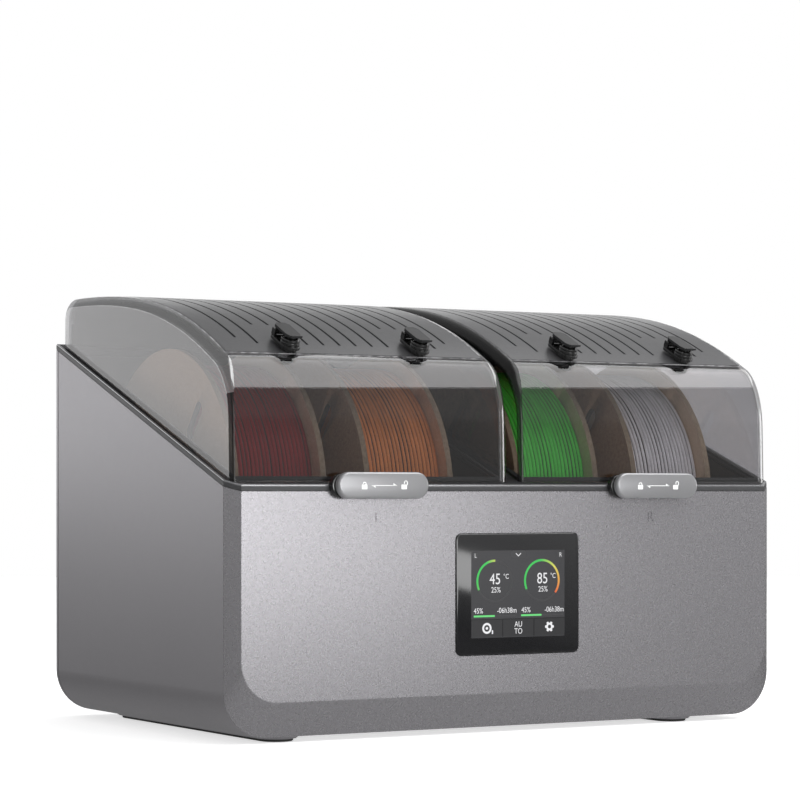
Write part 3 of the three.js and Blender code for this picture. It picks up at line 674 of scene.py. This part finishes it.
def lid_part(cx):
    """The clear shell, open below: two skins joined along the lower edge and round the cover's seat.

    The kinds are 0 clear wall, 1 clear edge, 2 the ledge behind the cover and 3 an edge with painted shade,
    a darker tint where shade falls.
    """
    steps = 6
    count = len(OUTLINE)
    columns = 2 * (steps + 1)
    points, faces, kinds = [], [], []
    for skin in (0.0, LID_SKIN):
        for i in range(count):
            points += lid_row(i, cx, skin, steps)

    at = grid(count, columns)

    def add(face, kind):
        faces.append(face)
        kinds.append(kind)

    for layer in (0, 1):
        for i in range(count - 1):
            for j in range(columns - 1):
                flat = j == steps
                if flat and FIRST_COVER <= i < LAST_COVER:
                    continue
                quad = (at(layer, i, j), at(layer, i, j + 1), at(layer, i + 1, j + 1), at(layer, i + 1, j))
                if flat:
                    kind = 2 if i >= LAST_COVER else 0
                else:
                    # these left edges take the darker tint as painted shade
                    kind = 3 if j < steps and (cx > 0 or OUTLINE[i][1] < SHADED_BELOW) else 1
                add(quad, kind)
        add(tuple(at(layer, i, 0) for i in range(count)), 0)
        add(tuple(at(layer, i, columns - 1) for i in range(count)), 0)
    for i in range(FIRST_COVER, LAST_COVER):
        for j in (steps, steps + 1):
            add((at(0, i, j), at(0, i + 1, j), at(1, i + 1, j), at(1, i, j)), 1)
    for i in (FIRST_COVER, LAST_COVER):
        add((at(0, i, steps), at(0, i, steps + 1), at(1, i, steps + 1), at(1, i, steps)), 1)
    for i in (0, count - 1):
        for j in range(columns - 1):
            add((at(0, i, j), at(0, i, j + 1), at(1, i, j + 1), at(1, i, j)), 1)
    for j in (0, columns - 1):
        add((at(0, 0, j), at(0, count - 1, j), at(1, count - 1, j), at(1, 0, j)), 1)
    return points, faces, kinds


GROOVES = [(k - 6.5) * GROOVE_PITCH for k in range(14)]


def groove_start(x):
    """Grooves behind an outlet start further back, and so do the outermost ones."""
    plain, outermost, behind_outlet = GROOVE_STARTS
    if abs(abs(x) - SPOOL_PITCH / 2) < GROOVE_PITCH:
        return behind_outlet
    return outermost if abs(x) > 6 * GROOVE_PITCH else plain


def groove_depth(x, y):
    """How deep the cover's face is sunk at a place."""
    for centre in GROOVES:
        across = abs(x - centre)
        if across > GROOVE_HALF:
            continue
        along = min((y - groove_start(centre)) / GROOVE_RAMP, (GROOVE_END - y) / GROOVE_RAMP, 1.0)
        if along <= 0:
            return 0.0
        return GROOVE_DEPTH * min(1.0, (GROOVE_HALF - across) / GROOVE_SLOPE) * along
    return 0.0


def cover_part(cx):
    """The ribbed cover: a grooved top skin over a plain underside."""
    edge = LID_HALF - LID_EDGE_R - 0.35
    xs = [-edge, -edge + 0.6]
    for centre in GROOVES:
        xs += [centre + offset for offset in (-1.3, -GROOVE_HALF, -0.6, 0.6, GROOVE_HALF, 1.3)]
    xs += [edge - 0.6, edge]
    stations = []
    for i in range(FIRST_COVER, LAST_COVER):
        (ay, az), (by, bz) = OUTLINE[i], OUTLINE[i + 1]
        for step in range(2):
            t = step / 2
            stations.append((ay + (by - ay) * t, az + (bz - az) * t, NORMALS[i], NORMALS[i + 1], t))
    for start in GROOVE_STARTS:
        for y in (start + 0.01, start + GROOVE_RAMP):
            i = next(k for k in range(FIRST_COVER, LAST_COVER) if OUTLINE[k + 1][0] > y)
            (ay, az), (by, bz) = OUTLINE[i], OUTLINE[i + 1]
            t = (y - ay) / (by - ay)
            stations.append((y, az + (bz - az) * t, NORMALS[i], NORMALS[i + 1], t))
    stations.append((*OUTLINE[LAST_COVER], NORMALS[LAST_COVER], NORMALS[LAST_COVER], 0))
    stations.sort(key=lambda s: (s[0] > CROWN_END, s[0] if s[0] <= CROWN_END else -s[1]))
    # the front row stands back from the painted glint bead
    stations[0] = (stations[0][0] + 0.3, stations[0][1] + 0.16, *stations[0][2:])
    n = len(xs)
    points, faces = [], []
    for depth in (0.0, COVER_T):
        for y, z, na, nb, t in stations:
            ny, nz = na[0] + (nb[0] - na[0]) * t, na[1] + (nb[1] - na[1]) * t
            for x in xs:
                sunk = depth if depth else groove_depth(x, y) + (0.5 if abs(x) == edge else 0.0)
                points.append((cx + x, y - sunk * ny, z - sunk * nz))
    count = len(stations)
    at = grid(count, n)
    for layer in (0, 1):
        for i in range(count - 1):
            for j in range(n - 1):
                quad = (at(layer, i, j), at(layer, i, j + 1), at(layer, i + 1, j + 1), at(layer, i + 1, j))
                faces.append(quad)
    for i in (0, count - 1):
        for j in range(n - 1):
            faces.append((at(0, i, j), at(0, i, j + 1), at(1, i, j + 1), at(1, i, j)))
    for j in (0, n - 1):
        for i in range(count - 1):
            faces.append((at(0, i, j), at(0, i + 1, j), at(1, i + 1, j), at(1, i, j)))
    return points, faces


def seat_glint_bead(cx):
    """A thin bead along the sides and front of the cover's seat, coloured light with coarse speckles as a
    painted glint.
    """
    half = LID_HALF - LID_EDGE_R + 0.1
    side = [(OUTLINE[i], NORMALS[i]) for i in range(FIRST_COVER, LAST_COVER)]
    (y, z), normal = side[0]
    front = ((y - 0.5, z - 0.3), normal)
    path = [(-half, p, n) for p, n in reversed(side)] + [(-half, *front), (half, *front)]
    path += [(half, p, n) for p, n in side]
    rings = []
    for x, (py, pz), (ny, nz) in path:
        ring = []
        for k in range(6):
            t = math.radians(60 * k)
            across, out = BEAD_R * math.cos(t), BEAD_R * math.sin(t) - BEAD_SUNK
            if (py, pz) == front[0]:
                shift, lead = 0.0, across
            else:
                shift, lead = across * (1 if x < 0 else -1), 0.0
            ring.append((cx + x + shift, py + out * ny - lead, pz + out * nz))
        rings.append(ring)
    return loft(rings)


def ear_parts(cx):
    """The lid's hinge ears round the pin."""
    disc = [(0.0, -4), (4.0, -4), (4.0, 4), (0.0, 4)]
    parts = []
    for end in (-60, 60):
        for side in (-10.4, 10.4):
            x = cx + end + side
            parts.append(lathe_x(disc, (x, HINGE_Y, HINGE_Z), 32))
            parts.append(box_part(x - 4, x + 4, 260, 268, 104, 107))
    return parts


LID_MATERIALS = [clear_wall, clear_edge, cover_plastic, clear_edge_painted_shade]
for side, cx, _ in SIDES:
    lid, shell, cover = f"{side}_lid", [f"lid_{side}"], [f"lid_cover_{side}"]
    parts, name = [lid_part(cx)], f"clear_lid_{side}"
    piece(name, parts, LID_MATERIALS, lid, shell, smooth=25, flatten=True)
    piece(f"lid_hinge_ears_{side}", ear_parts(cx), [matte_black], lid, bevel=0.4)
    piece(f"ribbed_cover_{side}", [cover_part(cx)], [cover_plastic], lid, cover, smooth=30)
    piece(f"cover_glint_lip_{side}", [seat_glint_bead(cx)], [lip_glint_paint], lid)


def gasket_part(cx):
    """The soft band between deck and lid, low enough to leave the windings in view."""
    half = LID_HALF - LID_SKIN - 0.4
    rings = []
    for inset, lift in ((0, 3.9), (0, 5.2), (1.2, 5.8), (3.4, 5.8), (3.4, 3.9)):
        x0, x1, y0, y1 = cx - half + inset, cx + half - inset, -1.3 + inset, 257.6 - inset
        rings.append(on_rail([(x0, y0), (x1, y0), (x1, y1), (x0, y1)], lift))
    return loft(rings + rings[:1], capped=False)


for side, cx, _ in SIDES:
    piece(f"lid_gasket_{side}", [gasket_part(cx)], [rubber], "base", [f"seal_{side}"])


# ---- Spools ------------------------------------------
def spool_profile():
    """Half section of a spool: tube and two flanges."""
    inner = SPOOL_HALF - FLANGE_T
    left = [(BORE_R, -SPOOL_HALF), (SPOOL_R, -SPOOL_HALF), (SPOOL_R, -inner), (TUBE_R, -inner)]
    return left + [(r, -x) for r, x in reversed(left)]


def spool_piece(number, x):
    """A cardboard spool with three slots in its sides."""
    points, faces = lathe_x(spool_profile(), (x, SPOOL_Y, SPOOL_Z), 128)
    # card_face outside and on the tube, card_rim on the rims, card_inner on the flanges' inner sides
    kinds = [(0, 1, 3, 0, 3, 1, 0, 0)[k % 8] for k in range(len(faces))]
    spool = piece(f"card_spool_{number}", [(points, faces, kinds)], CARDS)
    outline = arc(SLOT_OUTER, 0, SLOT_HALF, -90, 90, 8) + arc(SLOT_INNER, 0, SLOT_HALF, 90, 270, 8)
    cutters = []
    for k in range(3):
        middle = math.radians(120 * k + 10)
        rings = []
        for px in (-2 * SPOOL_HALF, 2 * SPOOL_HALF):
            ring = []
            for r, across in outline:
                y = r * math.cos(middle) - across * math.sin(middle)
                z = r * math.sin(middle) + across * math.cos(middle)
                ring.append((x + px, SPOOL_Y + y, SPOOL_Z + z))
            rings.append(ring)
        # the cutters' faces leave the slot walls in the darker card, painted shade
        cutters.append(piece(f"slot_{number}_{k}", [(*loft(rings), 2)], CARDS))
    carve(spool, cutters)
    finish_piece(spool, f"loaded_spool_{number}", [f"spool_{number}"])


def winding_piece(number, x):
    """Wound filament: a ridge for each turn and a dark line of painted shade between turns, wider where
    they stand apart.
    """
    half = SPOOL_HALF - FLANGE_T - 0.3
    pitch = 2 * half / WINDINGS
    gaps = random.sample(range(1, WINDINGS), 6)
    profile = [(TUBE_R + 0.3, -half)]
    dark = []
    for k in range(WINDINGS):
        if k:
            dark.append(len(profile) - 1)
        left, right = (0.36 if edge in gaps else 0.43 for edge in (k, k + 1))
        middle = -half + (k + 0.5) * pitch
        radius = WINDING_R - random.uniform(0, 0.5)
        for angle in range(-80, 81, 20):
            t = math.radians(angle)
            reach = (left if angle < 0 else right) * pitch
            profile.append((radius - 0.3 * pitch * (1 - math.cos(t)), middle + reach * math.sin(t)))
    profile.append((TUBE_R + 0.3, half))
    points, faces = lathe_x(profile, (x, SPOOL_Y, SPOOL_Z), 120)
    # faces in the creases between turns take the painted shade
    kinds = [1 if k % len(profile) in dark else 0 for k in range(len(faces))]
    colour = ("red", "orange", "green", "silver")[number - 1]
    made, spool = [THREADS[number - 1], thread_gap_shade], f"loaded_spool_{number}"
    slot, replaced = f"filament_{colour}", [f"filament_{number}"]
    piece(f"winding_{number}", [(points, faces, kinds)], made, spool, replaced, smooth=70)


for side, cx, first in SIDES:
    for k in (0, 1):
        x = cx + (k - 0.5) * SPOOL_PITCH
        spool_piece(first + k, x)
        winding_piece(first + k, x)


# ---- Outlets -----------------------------------------
def outlet_seat(x):
    """The place and tilt of an outlet on its lid."""
    turn = Matrix.Rotation(OUTLET_TILT, 4, "X")
    return Matrix.Translation(Vector((x, OUTLET_Y, OUTLET_Z))) @ turn


def turned_z(points, sides=40):
    """Turned shape about the axis of the outlet's ring from (radius, z) points."""
    rings = []
    for r, z in points:
        circle = arc(0, 0, r, 0, 360 - 360 / sides, sides - 1)
        rings.append([(x, OUTLET_RING_Y + y, z) for x, y in circle])
    return loft(rings, capped=False)


def outlet_parts():
    """Base plate, ring, neck and hinge posts of an outlet."""
    base = arc(0, 7.5, 6.5, 0, 180, 16) + arc(0, -7.5, 6.5, 180, 360, 16)
    crest = [(4.0, 2.9), (4.4, 6.6), (4.9, 7.0), (5.9, 7.0), (6.4, 6.5)]
    waist = [(6.4, 5.4), (6.0, 5.0), (6.4, 4.6), (6.4, 2.9)]
    neck = [(4.0, -9.0), (5.3, -9.0), (5.3, 1.0), (4.0, 1.0)]
    parts = [slab_z(base, 0.8, 3.0), turned_z(crest + waist + crest[:1]), turned_z(neck + neck[:1])]
    for x in (-4.4, 4.4):
        parts.append(box_part(x - 0.9, x + 0.9, 6.8, 11.6, 2.9, 7.4))
    return parts


def cap_parts():
    """Paddle, lip, hinge block, barrel and stopper of an outlet's cap."""
    right = [(3.2, 11.8), (5.3, 8.6), (5.3, -8), (3.6, -11.5)]
    paddle = [(-5.3, 8.6), (-3.2, 11.8), *right, (-3.6, -11.5), (-5.3, -8)]
    lip = [(-4.5, -11.2), (4.5, -11.2), (4.1, -13.6), (-4.1, -13.6)]
    stopper = [(0.0, 4.6), (3.2, 4.6), (3.6, 5.2), (3.6, 8.8), (0.0, 8.8)]
    return [
        (slab_z(paddle, 8.6, 10.4), 0),
        (loft([[(x, y, z - 0.45 * (y + 11.2)) for x, y in lip] for z in (8.9, 10.3)]), 0),
        (box_part(-3.1, 3.1, 7.5, 11.5, 5.4, 8.8), 1),
        (lathe_x([(0.0, -3.1), (2.1, -3.1), (2.1, 3.1), (0.0, 3.1)], (0, 9.5, 5.4), 24), 1),
        (turned_z(stopper), 1),
    ]


for side, cx, first in SIDES:
    for k in (0, 1):
        number = first + k
        seat = outlet_seat(cx + (k - 0.5) * SPOOL_PITCH)
        collar = [moved(part, seat) for part in outlet_parts()]
        replaced = [f"outlet_collar_{number}"]
        lid = f"{side}_lid"
        piece(f"outlet_base_{number}", collar, [gloss_black], lid, replaced, bevel=0.3)
        cap = [(*moved(part, seat), index) for part, index in cap_parts()]
        replaced = [f"outlet_cap_{number}"]
        made = [cap_plastic, gloss_black]
        piece(f"outlet_flap_{number}", cap, made, f"cap_{number}", replaced, bevel=0.35)


# ---- Latches -----------------------------------------
def pill_xz(cx, half, height, cz, steps=14):
    """A strip with half-round ends, seen from the front."""
    r = height / 2
    return arc(cx + half - r, cz, r, -90, 90, steps) + arc(cx - half + r, cz, r, 90, 270, steps)


def padlock(x, lifted):
    """Outlines of a padlock symbol's body and shackle."""
    shift, lift, foot = (1.3, 0.9, 0.3) if lifted else (0.0, 0.0, 0.5)
    outer = arc(shift, 1.0 + lift, 1.35, 0, 180, 10) + [(shift - 1.35, 1.0)]
    inner = [(shift - 0.8, 1.0)] + arc(shift, 1.0 + lift, 0.8, 180, 0, 10)
    body = [(-2.0, -2.4), (2.0, -2.4), (2.0, 0.6), (-2.0, 0.6)]
    shackle = [(shift + 1.35, foot)] + outer + inner + [(shift + 0.8, foot)]
    return [[(x + px, pz) for px, pz in outline] for outline in (body, shackle)]


DOUBLE_ARROW = [
    [(-8.6, -0.2), (8.6, -0.2), (8.6, 0.2), (-8.6, 0.2)],
    [(-9.6, 0.2), (-6.6, -1.5), (-6.6, -0.2), (-8.4, 0.2)],
    [(9.6, -0.2), (6.6, 1.5), (6.6, 0.2), (8.4, -0.2)],
]


def printed(outline, cx):
    """A thin printed shape on a latch's face."""
    return slab_y([(cx + x, LATCH_Z + z) for x, z in outline], LATCH_FACE - 0.06, LATCH_FACE)


white_print = plastic("white_print", (0.85, 0.85, 0.85), (0.92, 0.92, 0.92), (0.4, 0.5))
for side, cx, _ in SIDES:
    button = slab_y(pill_xz(cx, 33.5, 17.2, LATCH_Z), LATCH_FACE, -13.5, 1.6)
    studs = [box_part(cx + x - 1.2, cx + x + 1.2, -14.6, -10, -1.7, 0.5) for x in (-18.5, 28.5)]
    finger = box_part(cx, cx + 9, -14.6, -9.6, 9.4, 11.2)
    marks = [printed(mark, cx) for mark in padlock(-14.6, False) + DOUBLE_ARROW + padlock(14.6, True)]
    track = slab_y(pill_xz(cx - 2.4, 33.2, 15.4, LATCH_Z - 0.3), -13.1, -8.7, 0.6)
    latch = f"{side}_latch"
    parts = [button, *studs, finger]
    piece(f"latch_button_{side}", parts, [latch_paint], latch, [f"latch_{side}"], smooth=50)
    piece(f"latch_symbols_{side}", marks, [white_print], latch)
    replaced = [f"latch_base_{side}"]
    piece(f"latch_track_{side}", [track], [gloss_black], "base", replaced, smooth=50)


# ---- Screen ------------------------------------------
GLASS_FACE = -BEZEL - 0.7
LAYER = 0.03
FIGURE_LAYER = 4
SCREEN_W, SCREEN_H = 73.3, 57.4
GAUGE_X, GAUGE_Z, GAUGE_R = 18.6, 8.6, 13.4
TILE_X, TILE_Z, TILE_W, TILE_H = 24.6, -22.6, 23.7, 11.4
ICON_Z = -22.4
BAR_Z = -14.4
TAG_X, TAG_Z = 33.4, 25.4

glass_outline = round_rect(DISPLAY_W / 2, DISPLAY_H / 2, DISPLAY_R, 0, DISPLAY_Z)
glass = slab_y(glass_outline, GLASS_FACE, -6.0, 0.7)
piece("screen_glass", [glass], [glass_black], "base", ["display_glass"], smooth=50)


def screen_flat(name, shapes, made, layer):
    """Flat shapes on the screen, in millimetres from its middle, one thin layer above another."""
    y = GLASS_FACE - LAYER * layer
    parts = [slab_y([(x, DISPLAY_Z + z) for x, z in shape], y, y + 0.02) for shape in shapes]
    piece(name, parts, [made], "base")


def rect(cx, cz, w, h, r=0.6):
    """A rectangle of full sizes w and h."""
    return round_rect(w / 2, h / 2, r, cx, cz, 4)


def ring_shape(cx, cz, r, width, start, end, steps=40):
    """A band between two angles."""
    return arc(cx, cz, r + width / 2, start, end, steps) + arc(cx, cz, r - width / 2, end, start, steps)


def screen_back():
    """The screen's backlight, faintly uneven."""
    made = material("screen_back", (0.012, 0.012, 0.013), 0.25)
    nodes, links = made.node_tree.nodes, made.node_tree.links
    ramp = tone_ramp(nodes, [(0.0, (0.022, 0.022, 0.024)), (1.0, (0.042, 0.042, 0.045))])
    links.new(noise(made, 14, 0), ramp.inputs["Fac"])
    links.new(ramp.outputs["Color"], nodes["Principled BSDF"].inputs["Emission Color"])
    nodes["Principled BSDF"].inputs["Emission Strength"].default_value = 1.0
    return made


def gauge_material(name, cx, stops):
    """Colours that run round a gauge's ring from its lower left end."""
    made = material(name, (0.0, 0.0, 0.0), 0.3)
    nodes, links = made.node_tree.nodes, made.node_tree.links
    coords = nodes.new("ShaderNodeTexCoord")
    mapping = nodes.new("ShaderNodeMapping")
    centre = place((cx, GLASS_FACE, DISPLAY_Z + GAUGE_Z))
    mapping.inputs["Location"].default_value = (-centre.x, -centre.z, 0)
    split = nodes.new("ShaderNodeSeparateXYZ")
    join_xz = nodes.new("ShaderNodeCombineXYZ")
    radial = nodes.new("ShaderNodeTexGradient")
    radial.gradient_type = "RADIAL"
    ramp = tone_ramp(nodes, stops)
    links.new(coords.outputs["Object"], split.inputs["Vector"])
    links.new(split.outputs["X"], join_xz.inputs["X"])
    links.new(split.outputs["Z"], join_xz.inputs["Y"])
    links.new(join_xz.outputs["Vector"], mapping.inputs["Vector"])
    links.new(mapping.outputs["Vector"], radial.inputs["Vector"])
    links.new(radial.outputs["Fac"], ramp.inputs["Fac"])
    links.new(ramp.outputs["Color"], nodes["Principled BSDF"].inputs["Emission Color"])
    nodes["Principled BSDF"].inputs["Emission Strength"].default_value = 0.9
    return made


GREEN, YELLOW, ORANGE, RED = (0.06, 0.62, 0.12), (0.75, 0.72, 0.14), (0.85, 0.4, 0.08), (0.85, 0.12, 0.05)
screen_dim = glowing("screen_dim", (0.055, 0.055, 0.058))
screen_tile = glowing("screen_tile", (0.03, 0.03, 0.032))
screen_white = glowing("screen_white", (0.86, 0.86, 0.88))
screen_green = glowing("screen_green", (0.16, 0.75, 0.22))
screen_line = glowing("screen_line", (0.008, 0.008, 0.009))

screen_flat("screen_panel", [rect(0, 0, SCREEN_W, SCREEN_H, 0.4)], screen_back(), 1)
tiles = [rect(x, TILE_Z, TILE_W, TILE_H, 0.3) for x in (-TILE_X, 0, TILE_X)]
tags = [rect(-TAG_X, TAG_Z, 4.2, 4.2), rect(TAG_X, TAG_Z, 4.2, 4.2), rect(0, 26.3, 12, 4.6, 1.6)]
tracks = [rect(-18.3, BAR_Z, 33, 0.9, 0.4), rect(18.6, BAR_Z, 33, 0.9, 0.4)]
rings = [ring_shape(x, GAUGE_Z, GAUGE_R, 1.3, 0, 359, 64) for x in (-GAUGE_X, GAUGE_X)]
rules = [rect(x, TILE_Z, 0.7, TILE_H, 0.2) for x in (-12.3, 12.3)] + [rect(0, -16.6, SCREEN_W, 0.5, 0.2)]
bars = [rect(-26.6, BAR_Z, 16.4, 1.2, 0.5), rect(10.2, BAR_Z, 16.2, 1.2, 0.5)]
screen_flat("screen_tiles", tiles, screen_tile, 2)
screen_flat("screen_tags", tags + tracks + rings, screen_dim, 2)
screen_flat("screen_rules", rules, screen_line, 3)
screen_flat("screen_bars", bars, screen_green, 3)
LOW_STOPS = [(0.0, GREEN), (0.72, YELLOW), (0.82, GREEN), (1.0, GREEN)]
HIGH_STOPS = [(0.1, GREEN), (0.38, RED), (0.5, ORANGE), (0.62, YELLOW), (0.76, GREEN)]
low_gauge = gauge_material("gauge_low", -GAUGE_X, LOW_STOPS)
high_gauge = gauge_material("gauge_high", GAUGE_X, HIGH_STOPS)
screen_flat("gauge_left", [ring_shape(-GAUGE_X, GAUGE_Z, GAUGE_R, 1.5, 88, 205)], low_gauge, 3)
screen_flat("gauge_right", [ring_shape(GAUGE_X, GAUGE_Z, GAUGE_R, 1.5, -38, 205)], high_gauge, 3)

# generic figures and letters: text, place across and up, size
FIGURES = (
    ("45", -18.2, 9.6, 10.2),
    ("85", 19.0, 9.6, 10.2),
    ("°C", -9.6, 11.4, 4.6),
    ("°C", 27.4, 11.4, 4.6),
    ("25%", -17.6, 2.6, 5.2),
    ("25%", 19.4, 2.6, 5.2),
    ("45%", -31.2, -11.0, 5.0),
    ("-06h38m", -9.0, -11.0, 5.0),
    ("45%", 6.0, -11.0, 5.0),
    ("-06h38m", 28.4, -11.0, 5.0),
    ("L", -TAG_X, TAG_Z, 4.0),
    ("R", TAG_X, TAG_Z, 4.0),
    ("AU", 0, -20.3, 5.2),
    ("TO", 0, -24.9, 5.2),
)
merged = bmesh.new()
for text, x, z, size in FIGURES:
    spot = (x, GLASS_FACE - LAYER * FIGURE_LAYER, DISPLAY_Z + z)
    mesh = text_mesh(text, size, 0.01, spot, squeeze=0.86, centred=True)
    merged.from_mesh(mesh)
    bpy.data.meshes.remove(mesh)
figure_mesh = bpy.data.meshes.new("screen_figures")
merged.to_mesh(figure_mesh)
merged.free()
figure_mesh.materials.append(screen_white)
finish_piece(linked("screen_figures", figure_mesh), "base")


def gear_outline(cx, cz, r):
    """A gear with six teeth."""
    points = []
    for k in range(6):
        a = 60 * k
        points += arc(cx, cz, r, a - 13, a + 13, 3)
        points += arc(cx, cz, r * 0.74, a + 20, a + 40, 3)
    return points


icons = [
    ring_shape(-TILE_X, ICON_Z, 2.9, 1.4, 0, 359, 32),
    rect(-TILE_X, ICON_Z, 1.9, 1.9, 0.9),
    rect(-20.3, -25.0, 1.0, 2.6, 0.4),
    gear_outline(TILE_X, ICON_Z, 3.5),
]
screen_flat("screen_icons", icons, screen_white, FIGURE_LAYER)
screen_flat("screen_gear_hole", [rect(TILE_X, ICON_Z, 2.4, 2.4, 1.1)], screen_tile, FIGURE_LAYER + 1)
chevron = [(-2.0, 27.1), (0, 25.3), (2.0, 27.1), (2.0, 26.4), (0, 24.6), (-2.0, 26.4)]
screen_flat("screen_chevron", [chevron], screen_white, FIGURE_LAYER)


# ---- Carried-over CAD nodes --------------------------
FINISH = {
    "rear_panel": wrap_paint,
    "display_module": matte_black,
    "control_board": circuit,
    "power_supply": steel,
    "power_inlet": matte_black,
    "switch_frame": matte_black,
    "power_switch": gloss_black,
}
for side, _, first in SIDES:
    FINISH[f"tub_{side}"] = tub_plastic
    FINISH[f"heater_{side}"] = aluminium
    FINISH[f"fan_frame_{side}"] = matte_black
    FINISH[f"fan_rotor_{side}"] = matte_black
    FINISH[f"humidity_sensor_{side}"] = matte_black
    FINISH[f"hinge_pin_{side}"] = steel
    for number in (first, first + 1):
        FINISH[f"roller_{number}_front"] = steel
        FINISH[f"roller_{number}_rear"] = steel
for name, made in FINISH.items():
    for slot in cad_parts[name].material_slots:
        slot.material = made


# ---- Studio ------------------------------------------
def area_light(name, centre, target, width, height, radiance):
    """A soft panel aimed at a point; radiance is its brightness when looked at."""
    light = bpy.data.lights.new(name, "AREA")
    light.shape = "RECTANGLE"
    light.size, light.size_y = width, height
    light.energy = radiance * math.pi * width * height
    obj = linked(name, light)
    obj.location = centre
    obj.rotation_euler = (Vector(target) - Vector(centre)).to_track_quat("-Z", "Y").to_euler()
    obj.visible_camera = False
    return obj


ceiling = area_light("ceiling_softbox", (0.9, -0.634, 1.75), (0.9, -0.634, 0), 2.55, 1.77, 2.7)
ceiling.rotation_euler = (0, 0, math.radians(57))
area_light("front_softbox", (0.08, -1.95, 0.42), (0.08, 0, 0.3), 0.9, 0.78, 2.85)
area_light("front_strip", (0.54, -1.94, 0.13), (0.54, 0, 0.13), 1.05, 0.2, 3.5)
area_light("side_softbox", (-1.0, 1.65, 0.31), (-0.2, 0, 0.2), 1.1, 0.32, 1.45)
area_light("right_softbox", (1.9, -0.62, 0.36), (0.0, -0.4, 0.2), 0.9, 0.5, 2.6)
area_light("rear_panel_light", (1.3, 2.0, 0.7), (0.0, 0, 0.25), 1.6, 0.9, 0.9)

# the floor lies a little below the feet, so that no faces coincide
FLOOR_R, FLOOR_Z = 3.2, -0.0002
floor_rim = [(x, y, FLOOR_Z) for x, y in arc(0, 0, FLOOR_R, 0, 355, 71)]
floor_mesh = bpy.data.meshes.new("floor")
floor_mesh.from_pydata(floor_rim, [], [tuple(range(len(floor_rim)))])
floor_paint = plastic("floor_paint", (0.86, 0.86, 0.86), (0.9, 0.9, 0.9), (0.6, 0.8))
floor_shader = floor_paint.node_tree.nodes["Principled BSDF"]
floor_shader.inputs["Emission Color"].default_value = (1, 1, 1, 1)
floor_shader.inputs["Emission Strength"].default_value = 0.6
floor_mesh.materials.append(floor_paint)
floor = linked("floor", floor_mesh)
floor.visible_glossy = False

world = bpy.data.worlds.new("studio")
bpy.context.scene.world = world
world.use_nodes = True
nodes, links = world.node_tree.nodes, world.node_tree.links
seen = nodes["Background"]
seen.inputs["Color"].default_value = (1, 1, 1, 1)
lit = nodes.new("ShaderNodeBackground")
heading = nodes.new("ShaderNodeTexCoord")
split_heading = nodes.new("ShaderNodeSeparateXYZ")
height = nodes.new("ShaderNodeMapRange")
height.inputs["From Min"].default_value = -1.0
# a pale floor below, a dim wall at the horizon, an even sky above
SKY_STOPS = ((0.28, 0.26), (0.44, 0.09), (0.575, 0.5))
sky = tone_ramp(nodes, [(position, (grey, grey, grey)) for position, grey in SKY_STOPS])
links.new(heading.outputs["Generated"], split_heading.inputs["Vector"])
links.new(split_heading.outputs["Z"], height.inputs["Value"])
links.new(height.outputs["Result"], sky.inputs["Fac"])
links.new(sky.outputs["Color"], lit.inputs["Color"])
path = nodes.new("ShaderNodeLightPath")
blend = nodes.new("ShaderNodeMixShader")
links.new(path.outputs["Is Camera Ray"], blend.inputs["Fac"])
links.new(lit.outputs["Background"], blend.inputs[1])
links.new(seen.outputs["Background"], blend.inputs[2])
links.new(blend.outputs["Shader"], nodes["World Output"].inputs["Surface"])
bpy.context.scene.view_settings.view_transform = "Standard"

# The camera stands level, to the front left, at the height of the front rim.
camera_data = bpy.data.cameras.new("camera")
camera_data.lens = 123.48
camera_data.sensor_width = 36
camera_data.shift_y = 0.1135
camera_data.clip_start = 0.05
camera = linked("camera", camera_data)
camera.location = (-0.9836, -1.6668, RIM)
camera.rotation_euler = (math.radians(90), 0, math.radians(-30.26))
bpy.context.scene.camera = camera
